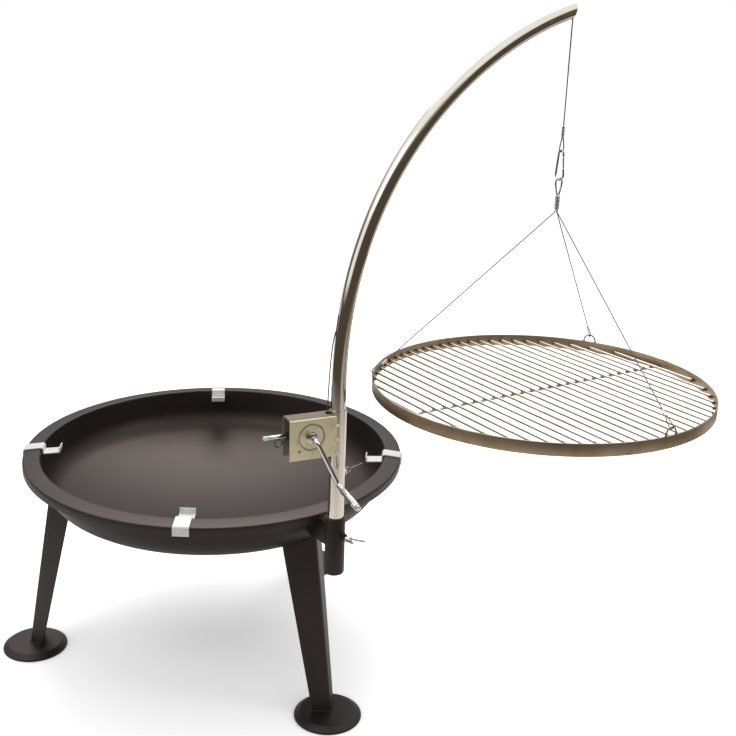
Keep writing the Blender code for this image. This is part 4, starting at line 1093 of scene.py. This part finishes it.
# Winch
def make_housing():
    corners = [(PLATE_FRONT, 0, PLATE_BOTTOM), (PLATE_FRONT, 0, PLATE_TOP),
               (PLATE_BACK, 0, PLATE_TOP), (PLATE_BACK, 0, PLATE_BOTTOM)]
    shell = sheet(side_view(rounded(corners, PLATE_BEND, 8)), PLATE_RIGHT - PLATE_LEFT, PLATE_SHEET)
    moved(shell, shift((PLATE_LEFT + PLATE_RIGHT) / 2) @ turn(pi / 2))
    tools = [rod(TUBE_RADIUS + SEAT, 0.55, 0.70, 72)]
    for radius, spot, low, high in ((SHAFT_RADIUS + 0.0004, HUB, -0.03, 0.04),
                                    (PAWL_PIN + SEAT, HUB + PAWL_PIVOT, -0.03, 0.04),
                                    (GUIDE_RADIUS + SEAT, GUIDE, 0.010, 0.040)):
        tools.append(moved(rod(radius, low, high), shift(*spot) @ ALONG_Y))
    tools.append(moved(plate(NOTCH, 0.02), shift(0, 0, PLATE_TOP)))
    piece("winch_channel", carved(shell, *tools), MAST, YELLOW, "mast", "winch_housing", ease=0.00035)

    # A ring pressed into the front plate round the hub
    outer, inner, rise = PLATE_RING
    line = rounded_profile([(outer, 0), (outer, -rise), (inner, -rise), (inner, 0)], 0.0004, 3)
    ring = lathe(line, 96, closed=True)
    place = CRANK @ shift(0, PLATE_FRONT + RING_SINK) @ ALONG_Y
    piece("plate_ring", ring, place, SCUFFED, "mast")
    guide = pin(GUIDE_RADIUS, PLATE_FRONT + PLATE_SHEET + 0.0005, PLATE_BACK + 0.0010)
    piece("cable_guide", guide, MAST @ shift(*GUIDE) @ ALONG_Y, BRIGHT, "mast",
          "cable_guide_pin")
    pivot = pin(PAWL_PIN, PLATE_FRONT - 0.0006, PLATE_BACK + 0.0006)
    piece("pawl_rivet", pivot, PAWL @ ALONG_Y, OLIVE, "mast", "pawl_pin")

    # Three short runs of weld hold the front plate to the mast tube
    runs = [bead([(-0.0108, PLATE_FRONT - 0.0008, z), (-0.0073, PLATE_FRONT - 0.0018, z),
                  (-0.0034, PLATE_FRONT - 0.0016, z)], 0.0028, 0.0020) for z in CHANNEL_WELDS_Z]
    piece("channel_welds", join(*runs), MAST, BEAD, "mast")


def make_drum():
    half = DRUM_HALF
    inner = half - FLANGE_SHEET
    bore = SHAFT_RADIUS + SEAT
    edge = FLANGE_EDGE
    side = [(DRUM_FLANGE - edge, half), (DRUM_FLANGE, half - edge), (DRUM_FLANGE, inner + edge),
            (DRUM_FLANGE - edge, inner), (DRUM_CORE, inner)]
    profile = side + [(r, -z) for r, z in reversed(side)] + [(bore, -half), (bore, half)]
    piece("cable_drum", lathe(profile, 96, closed=True), CRANK @ ALONG_Y, BRIGHT, "crank",
          "winch_drum", sharp=25)
    piece("drum_axle", pin(SHAFT_RADIUS, *AXLE_Y, 0.0006), CRANK @ ALONG_Y, BRIGHT, "crank",
          "winch_shaft")

    pitch = 2 * pi / TEETH
    saw = []
    for k in range(TEETH):
        face = pi + k * pitch
        saw.append((TOOTH_TIP * cos(face), TOOTH_TIP * sin(face)))
        saw.append((TOOTH_ROOT * cos(face + TOOTH_LEAN), TOOTH_ROOT * sin(face + TOOTH_LEAN)))
        for s in (0.25, 0.5, 0.75):
            r = TOOTH_ROOT + (TOOTH_TIP - TOOTH_ROOT) * s
            a = face + TOOTH_LEAN + (pitch - TOOTH_LEAN) * s
            saw.append((r * 0.997 * cos(a), r * 0.997 * sin(a)))
    wheel = plate(saw, WHEEL_Y[1] - WHEEL_Y[0], [(0, 0, bore, 32)])
    piece("toothed_wheel", wheel, CRANK @ shift(0, WHEEL_MIDDLE) @ UPRIGHT, DARK, "crank",
          "ratchet_wheel", ease=0.0002)

    front = PLATE_FRONT - SEAT
    radius, thick = HUB_WASHER
    piece("hub_washer", washer(radius, bore, front - thick, front), CRANK @ ALONG_Y, HARD, "crank",
          "shaft_washer")
    radius, height = HUB_NUT
    place = CRANK @ shift(0, front - thick - SEAT - height / 2) @ UPRIGHT
    piece("hub_nut", hex_nut(radius, bore, height), place, HARD, "crank", "shaft_nut", ease=0.0003)
    radius, thick = AXLE_RING
    back = PLATE_BACK + SEAT
    piece("axle_ring", washer(radius, bore, back, back + thick), CRANK @ ALONG_Y, BRIGHT, "crank",
          "shaft_retainer")


def winding_points(fine):
    """The cable that turns with the drum, in the hub's frame: a helix and a straight end."""
    lift = (HUB - GUIDE).length
    lean = acos((WRAP_RADIUS - GUIDE_PATH) / lift)
    leave = atan2(GUIDE.z - HUB.z, GUIDE.x - HUB.x) - lean
    count = round(fine * WRAPS)
    points = []
    for k in range(count + 1):
        a = leave - 2 * pi * (count - k) / fine
        y = WRAP_PITCH * (k / fine - (WRAPS + 1) / 2)
        points.append(polar_xz(WRAP_RADIUS, a, y))
    away = Vector((-sin(leave), 0, cos(leave)))
    points.append(points[-1] + away * 2 * CABLE_RADIUS)
    return points, leave


def make_hoist_cable():
    points, leave = winding_points(48)
    piece("cable_on_drum", cable(points, CABLE_RADIUS), CRANK, CABLE, "crank", "drum_cable", sharp=80)
    # A third of a turn on the drum, round the guide pin, and up beside the tube
    side = WRAP_PITCH * (WRAPS + 1) / 2
    route = []
    for k in range(24, -1, -1):
        a = leave - 2 * pi * k / 72
        route.append(HUB + polar_xz(WRAP_RADIUS, a, side))
    for k in range(10):
        a = leave * (1 - k / 9)
        route.append(GUIDE + polar_xz(GUIDE_PATH, a, side - 0.0001 * k))
    climb = [(-0.0185, 0.0058, 0.672), (-0.0183, 0.0048, 0.700), (-0.0172, 0.0026, 0.745),
             (-0.0143, 0.0008, 0.790), (-0.0100, 0, 0.815), (-0.0036, 0, 0.833),
             (0.0035, 0, 0.850), (0.0109, 0, 0.872)]
    route += smooth_route(climb, 6)
    for k in range(20, 117):
        t = k / ARM_STEPS
        ahead = (arm_point(t + 0.01) - arm_point(t)).normalized()
        route.append(arm_point(t) + Vector((ahead.z, 0, -ahead.x)) * 0.0100 * t)
    lip = [(0.4215, 0, 1.3585), (0.4300, 0, 1.3616), (0.4335, 0, 1.3622), (0.4352, 0, 1.3610),
           (REACH, 0, 1.3585), (REACH, 0, DROP_TOP_Z + SEAT)]
    route += smooth_route(lip, 4)
    piece("cable_in_arm", cable(route, CABLE_RADIUS), MAST, CABLE, "mast", "hoist_cable_run", sharp=80)
    line = [Vector((0, 0, FERRULE_Z[1] + SEAT)), Vector((0, 0, DROP_TOP_Z))]
    drop = piece("cable_drop", cable(line, CABLE_RADIUS), HANG, CABLE, None, "hoist_cable_drop",
                 sharp=80)
    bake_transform(drop)


def make_pawl():
    pivot = PAWL_PIVOT
    tail = [(pivot.x + PAWL_HEEL * cos(a), pivot.z + PAWL_HEEL * sin(a))
            for a in spaced(pi / 4, -pi, 15)]
    outline = [(-0.0270, -0.0012), (-0.0277, -0.0050), (-0.0285, -0.0100), (-0.0290, -0.0150), *tail,
               (-0.0340, -0.0130), (LEVER_START, -0.0065), (LEVER_START, 0.0030), (-0.0345, 0.0030),
               (-0.0315, -0.0020)]
    local = [(x - pivot.x, z - pivot.z) for x, z in outline]
    blade = plate(local, WHEEL_Y[1] - WHEEL_Y[0], [(0, 0, PAWL_PIN + SEAT, 28)])
    piece("pawl_blade", blade, PAWL @ shift(0, WHEEL_MIDDLE) @ UPRIGHT, DARK, "pawl", "pawl", ease=0.0003)
    cap_length, cap = LEVER_CAP
    low = LEVER_START - pivot.x
    high = LEVER_END - pivot.x
    place = PAWL @ shift(0, WHEEL_MIDDLE, LEVER_LIFT - pivot.z) @ turn(-pi / 2, "Y")
    piece("release_lever", pin(LEVER_RADIUS, -low + SEAT, -high - cap_length, 0.0003), place, CHROME,
          "pawl", "pawl_lever")
    cap_low = -high - cap_length + SEAT
    line = rounded([(0.0, 0, -high), (cap - 0.0012, 0, -high), (cap, 0, -high - 0.0016),
                    (cap, 0, cap_low + 0.0008), (cap - 0.0008, 0, cap_low)], 0.0009, 5)
    piece("lever_end", lathe(side_view(line), 40), place, CLIP, "pawl", "lever_cap")
    radius, wire = SPLIT_RING
    ring = tube([polar_xz(radius, a) for a in round_turn(40)], wire, 12, cyclic=True)
    drop = LEVER_RADIUS + SEAT + radius + wire
    place = PAWL @ shift(SPLIT_RING_X - pivot.x, WHEEL_MIDDLE, LEVER_LIFT - pivot.z - drop)
    piece("lever_split_ring", ring, place, DARK, "pawl", "lever_ring")


def make_crank():
    start = Vector((0, AXLE_Y[0] - SEAT, 0))
    stub = start + Vector((0, -CRANK_STUB, 0))
    elbow = stub + CRANK_ARM
    tip = elbow + CRANK_HANDLE
    route = rounded([start, stub, elbow, tip], CRANK_BEND, 14)
    piece("crank_bar", tube(route, CRANK_RADIUS, 32), CRANK, CHROME, "crank", "crank_rod", ease=0.0003)
    out = CRANK_HANDLE.normalized()
    cap = lathe([(0.0022, 0.0040), (0.0041, 0.0036), (0.0056, 0.0026), (0.0062, 0.0014),
                 (0.0062, 0.0006), (0.0059, SEAT)], 40)
    piece("crank_end", cap, CRANK @ shift(*tip) @ aim(out), HARD, "crank", "crank_cap")
    grip_start = CRANK_HANDLE.length - GRIP_END - GRIP_LENGTH
    bore = CRANK_RADIUS + SEAT
    line = [(GRIP_RADIUS - r, GRIP_LENGTH - z) for r, z in GRIP_EDGE]
    line += [(GRIP_RADIUS - r, z) for r, z in reversed(GRIP_EDGE)]
    line += [(bore, 0), (bore, GRIP_LENGTH)]
    piece("handle_sleeve", lathe(line, 48, closed=True),
          CRANK @ shift(*(elbow + out * grip_start)) @ aim(out), CHROME, "grip", "crank_grip")


# Hook, eyes and bridle
def loop_points(half_width, low, high, neck):
    """A U of wire in XZ: round at the height low, and drawn in to a neck at high."""
    centre = low + half_width
    side = [(neck, high), (neck + (half_width - neck) * 0.35, high + (centre - high) * 0.28),
            (neck + (half_width - neck) * 0.85, high + (centre - high) * 0.66)]
    arc = [(half_width * cos(a), centre - half_width * sin(a)) for a in spaced(0, pi, 8)]
    points = side + arc + [(-x, z) for x, z in reversed(side)]
    return [Vector((x, 0, z)) for x, z in points]


def crimped(radius, low, high, dents=3, flat=0.78):
    """A pressed sleeve: an oval tube with dents across it."""
    line = [(radius * 0.72, high)]
    span = high - low
    steps = dents * 8
    for k in range(steps + 1):
        s = k / steps
        dent = 0.10 * (0.5 + 0.5 * cos(2 * pi * dents * s + pi)) if 0 < s < 1 else 0.06
        line.append((radius * (1 - dent), high - 0.0006 - (span - 0.0012) * s))
    line.append((radius * 0.72, low))
    work = lathe(line, 36)
    bmesh.ops.transform(work, matrix=Matrix.Diagonal((1, flat, 1, 1)), verts=work.verts)
    return work


def make_hook():
    eye_turn = turn(EYE_ANGLE - ARM_ANGLE)
    hook_turn = turn(HOOK_ANGLE - ARM_ANGLE)
    piece("drop_sleeve", crimped(FERRULE_RADIUS, *FERRULE_Z), HANG @ eye_turn, BRIGHT, "hoist",
          "cable_ferrule")
    eye = smooth_route(loop_points(EYE_HALF, EYE_BOTTOM_Z, FERRULE_Z[0] - SEAT, 0.0014), 4)
    piece("drop_eye", cable(eye, CABLE_RADIUS, gap=LOOP_SEGMENT), HANG @ eye_turn, CABLE, "hook",
          "cable_eye", sharp=80)

    top = EYE_BOTTOM_Z + CABLE_RADIUS + HOOK_WIRE + SEAT - HOOK_HALF_TOP
    low = HOOK_BOTTOM_Z + HOOK_HALF_BOTTOM
    lean = Vector((HOOK_HALF_TOP - HOOK_HALF_BOTTOM, 0, top - low))
    foot = Vector((HOOK_HALF_BOTTOM, 0, low))
    nose, hinge = (foot + lean * share for share in LATCH_ENDS)
    arc_low = [Vector((0, 0, low)) + polar_xz(HOOK_HALF_BOTTOM, -a) for a in spaced(0, pi, 24)]
    arc_top = [Vector((0, 0, top)) + polar_xz(HOOK_HALF_TOP, pi - a) for a in spaced(0, pi, 24)]
    bow = tube([nose, *arc_low, *arc_top, hinge], HOOK_WIRE, 20)
    piece("hook_bow", bow, HANG @ hook_turn, HARD, "hook", "snap_hook", ease=0.0004)
    gap = lean.normalized() * LATCH_GAP
    gate = tube([hinge - gap, nose + gap], HOOK_WIRE - 0.0004, 16)
    piece("hook_latch", gate, HANG @ hook_turn, HARD, "gate", "hook_gate", ease=0.0003)

    top = HOOK_BOTTOM_Z + HOOK_WIRE + THIMBLE_WIRE + SEAT
    line = [Vector((p.x, 0, -p.z)) for p in
            loop_points(THIMBLE_HALF, -top, -SLEEVE_Z[1] - SEAT - 0.0004, THIMBLE_WIRE + 0.0004)]
    piece("bridle_eye", tube(smooth_route(line, 5), THIMBLE_WIRE, 18), HANG @ eye_turn, HARD, "grate",
          "hanger_eye")
    piece("bridle_crimp", crimped(SLEEVE_RADIUS, *SLEEVE_Z, 3, 0.9), HANG @ eye_turn, BRIGHT, "grate",
          "bridle_sleeve")


def make_bridle():
    top_z = GRATE_TOP_Z + SEAT + EYELET_HEIGHT
    eyelet_r = GRATE_RADIUS - BAND_SHEET / 2
    eye = Vector((eyelet_r, 0, top_z))
    apex = Vector((STAY_APEX[0], 0, SLEEVE_Z[0] - STAY_APEX[1]))
    along = (apex - eye).normalized()
    across = Vector((-along.z, 0, along.x))
    arch_centre = top_z - EYELET_HALF
    foot = GRATE_TOP_Z + SEAT
    arch = [Vector((0, -EYELET_HALF, foot))]
    arch += [Vector((0, -EYELET_HALF * cos(a), arch_centre + EYELET_HALF * sin(a)))
             for a in spaced(0, pi, 24)]
    arch.append(Vector((0, EYELET_HALF, foot)))
    neck, top = STAY_FERRULE
    hold = EYELET_WIRE + BRIDLE_RADIUS + SEAT
    half = STAY_LOOP_HALF
    side = [(neck - SEAT, 0.0013), (0.0165, 0.0025), (0.0100, 0.0040)]
    arc = [(half - hold + half * cos(a), half * sin(a)) for a in spaced(pi / 2, pi * 3 / 2, 6)]
    loop = [eye + along * s + across * t for s, t in
            side + arc + [(s, -t) for s, t in reversed(side)]]
    stay = [eye + along * (top + SEAT), apex, Vector((STAY_TOP, 0, SLEEVE_Z[0] - SEAT))]
    for number, angle in enumerate(EYELET_ANGLES, 1):
        place = GRATE @ turn(angle)
        arch_skin = tube(arch, EYELET_WIRE, 14)
        piece(f"grate_loop_{number}", arch_skin, place @ shift(eyelet_r), TINTED, "grate",
              f"eyelet_{number}")
        spots = [dot((eyelet_r, side * EYELET_HALF, foot), 0.0024) for side in (-1, 1)]
        piece(f"grate_loop_welds_{number}", join(*spots), place, BURNT, "grate")
        piece(f"stay_{number}", cable(stay, BRIDLE_RADIUS), place, CABLE, "grate",
              f"bridle_cable_{number}", sharp=80)
        wire = cable(smooth_route(loop, 3), BRIDLE_RADIUS, gap=LOOP_SEGMENT)
        piece(f"stay_loop_{number}", wire, place, CABLE, "grate", f"bridle_loop_{number}", sharp=80)
        crimp = moved(crimped(STAY_FERRULE_RADIUS, 0, top - neck, 2, 0.85),
                      shift(*(eye + along * neck)) @ aim(along))
        piece(f"stay_crimp_{number}", crimp, place, BRIGHT, "grate", f"bridle_ferrule_{number}")


# Grate
def make_grate():
    bore = GRATE_RADIUS - BAND_SHEET
    low = GRATE_TOP_Z - BAND_HEIGHT
    profile = rounded_profile([(GRATE_RADIUS, GRATE_TOP_Z), (GRATE_RADIUS, low), (bore, low),
                               (bore, GRATE_TOP_Z)], BAND_EDGE, 3)
    piece("grate_band", lathe(profile, BAND_STEPS, closed=True), GRATE, BAND, "grate", "grate_ring")
    seam = [polar(bore - 0.0001, BAND_SEAM_ANGLE, z)
            for z in spaced(low + 0.002, GRATE_TOP_Z - 0.002, 20)]
    piece("band_seam", bead(seam, 0.0012), GRATE, WELD, "grate")

    height = GRATE_TOP_Z - BAR_DROP
    works, spots = [], []
    for k in range(BARS):
        x = (k - (BARS - 1) / 2) * BAR_PITCH
        half = sqrt((bore - SEAT) ** 2 - (abs(x) + BAR_RADIUS) ** 2)
        works.append(tube([(x, -half, height), (x, half, height)], BAR_RADIUS, 16))
        for side in (-1, 1):
            end = (x, side * (half - END_WELD_INSET), height - BAR_RADIUS * 0.4)
            spots.append(dot(end, END_WELD, 0.8))
        spots.append(dot((x, BAR_RADIUS * 0.9, height - BAR_RADIUS * 0.95), ROD_WELD, 0.7))
    half = sqrt((bore - SEAT) ** 2 - BAR_RADIUS ** 2)
    rod_z = height + WELD_SINK - 2 * BAR_RADIUS
    works.append(tube([(-half, 0, rod_z), (half, 0, rod_z)], BAR_RADIUS, 16))
    piece("grate_grille", join(*works), GRATE, BAR, "grate", "grate_bars")
    spots += [dot((side * (half - END_WELD_INSET), 0, rod_z), END_WELD, 0.8) for side in (-1, 1)]
    piece("grate_spot_welds", join(*spots), GRATE, BURNT, "grate")


# Clips
def make_clips():
    skirt = BOWL_RADIUS + SEAT
    leg = BOWL_RADIUS - BAND_WIDTH - 0.0024
    slope = BAND_RISE / (BAND_WIDTH - BAND_OUTER_EDGE - BAND_INNER_EDGE)
    outer_z = RIM_Z + SEAT - slope * BAND_OUTER_EDGE
    inner_z = outer_z + slope * (skirt - leg)
    for number, (angle, lift) in enumerate(zip(CLIP_ANGLES, CLIP_LIFTS), 1):
        shelf = CLIP_SHELF_Z + lift / 2
        corners = [(skirt, 0, RIM_Z - CLIP_GRASP), (skirt, 0, outer_z), (leg, 0, inner_z),
                   (leg, 0, shelf), (CLIP_SHELF_R, 0, shelf + lift),
                   (CLIP_SHELF_R, 0, shelf + lift + CLIP_TAB)]
        strip = sheet(side_view(rounded(corners, CLIP_BEND, 8)), CLIP_WIDTH, CLIP_SHEET)
        piece(f"rim_clip_{number}", strip, BASE @ turn(angle), CLIP, CLIP_BODIES[number - 1],
              f"grate_clip_{number}", ease=0.00045)


# Studio
def make_camera():
    ahead = Vector((0, cos(CAMERA_PITCH), -sin(CAMERA_PITCH)))
    right = Vector((1, 0, 0))
    up = right.cross(ahead)
    side = right * cos(CAMERA_ROLL) + up * sin(CAMERA_ROLL)
    top = up * cos(CAMERA_ROLL) - right * sin(CAMERA_ROLL)
    lens = bpy.data.cameras.new("camera")
    lens.sensor_width = SENSOR
    lens.lens = SENSOR * FOCAL_PIXELS / PHOTO_PIXELS
    camera = bpy.data.objects.new("camera", lens)
    way = Matrix((side, top, -ahead)).transposed().to_4x4()
    camera.matrix_world = shift(*CAMERA_SPOT) @ way
    bpy.context.scene.collection.objects.link(camera)
    bpy.context.scene.camera = camera


def lamp(name, spot, target, size, power, colour):
    light = bpy.data.lights.new(name, "AREA")
    light.shape = "RECTANGLE"
    light.size, light.size_y = size
    light.energy = power
    light.color = colour
    item = bpy.data.objects.new(name, light)
    way = Vector(target) - Vector(spot)
    item.matrix_world = shift(*spot) @ way.to_track_quat("-Z", "Y").to_matrix().to_4x4()
    bpy.context.scene.collection.objects.link(item)


def make_studio():
    scene = bpy.context.scene
    scene.view_settings.view_transform = "Standard"
    lamp("key_softbox", (-1.7, -1.5, 2.6), (0, 0, 0.5), (1.8, 1.2), 11, (1.0, 0.98, 0.95))
    lamp("side_softbox", (2.3, -0.6, 1.7), (0.1, 0, 0.7), (0.7, 1.8), 8, (1.0, 1.0, 1.0))
    lamp("back_softbox", (-0.3, 2.0, 3.6), (-0.1, 0, 0.4), (3.2, 1.8), 86, (1.0, 0.98, 0.97))

    # White above and behind, and a dark room round the rest, which only metal shows
    world = bpy.data.worlds.new("studio")
    scene.world = world
    sky = Finish("studio", None, world)
    way = sky.node("TexCoord", output="Generated")
    across, depth, rise = (sky.along(way, axis) for axis in range(3))
    front = 0 - depth
    near = 1 - front.step(0.70, 0.95)
    panel = (0 - across).step(0.35, 0.60) * rise.step(-0.02, 0.12) * front.step(-0.05, 0.15) * near
    above = rise.step(0.20, 0.55) * near
    lit = above.math("MAXIMUM", above, panel)
    lit = lit.math("MAXIMUM", lit, depth.step(0.15, 0.95) * BEHIND)
    mirror = sky.mix(lit, ROOM, WHITE)
    straight = sky.node("LightPath", output="Is Camera Ray")
    seen = sky.node("LightPath", output="Is Glossy Ray")
    through = sky.node("LightPath", output="Is Transmission Ray")
    tone = sky.mix(seen, DAYLIGHT, mirror)
    tone = sky.mix(straight.math("MINIMUM", straight + through, 1.0), tone, WHITE)
    sky.feed(world.node_tree.nodes["Background"].inputs["Color"], tone)

    mesh = bpy.data.meshes.new("floor")
    work = bmesh.new()
    bmesh.ops.create_grid(work, x_segments=1, y_segments=1, size=FLOOR_HALF)
    work.to_mesh(mesh)
    work.free()
    floor = bpy.data.objects.new("floor", mesh)
    floor.location.z = -FLOOR_DROP
    scene.collection.objects.link(floor)
    ground = Finish("pale_floor", None)
    straight = ground.node("LightPath", output="Is Camera Ray")
    seen = ground.node("LightPath", output="Is Glossy Ray")
    spot = ground.node("TexCoord", output="Object")
    across, depth = (ground.along(spot, axis) for axis in range(2))
    reach = (across * across + depth * depth) ** 0.5
    aside = ((across - 1.6) ** 2 + (depth + 1.5) ** 2) ** 0.5
    dim = reach.step(0.95, 2.65) * (1 - depth.step(0.2, 0.9)) * (0.5 + 0.5 * aside.step(0.5, 1.2))
    beyond = across.step(0.7, 1.1) * depth.step(0.9, 1.5) * (1 - depth.step(2.6, 3.0)) * 0.85
    dim = seen * dim.math("MAXIMUM", dim, beyond)
    # Ambient occlusion dims the floor's glow for camera rays: a painted shadow under and round the grill.
    painted_shadow = ground.node("AmbientOcclusion", {"samples": 12}, {"Distance": 0.5}, 1)
    ground.set(base_color=FLOOR_TONE, roughness=0.9, specular_ior_level=0.0)
    strength = straight * FLOOR_GLOW * painted_shadow + seen * FLOOR_MIRROR
    glow = ground.node("Emission", None, {"Color": WHITE, "Strength": strength})
    room = ground.node("Emission", None, {"Color": ROOM, "Strength": 1.0})
    both = ground.node("AddShader", None, {0: Link(ground, ground.shader.outputs[0]), 1: glow})
    both = ground.node("MixShader", None, {0: dim, 1: both, 2: room})
    ground.feed(ground.tree.nodes["Material Output"].inputs["Surface"], both)
    mesh.materials.append(ground.material)


make_camera()
make_studio()
make_bowl()
make_legs()
make_feet()
make_socket()
make_screws()
make_mast()
make_housing()
make_drum()
make_hoist_cable()
make_pawl()
make_crank()
make_hook()
make_bridle()
make_grate()
make_clips()

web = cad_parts["socket_bracket"]
web.data.materials.clear()
web.data.materials.append(PAINT.material)
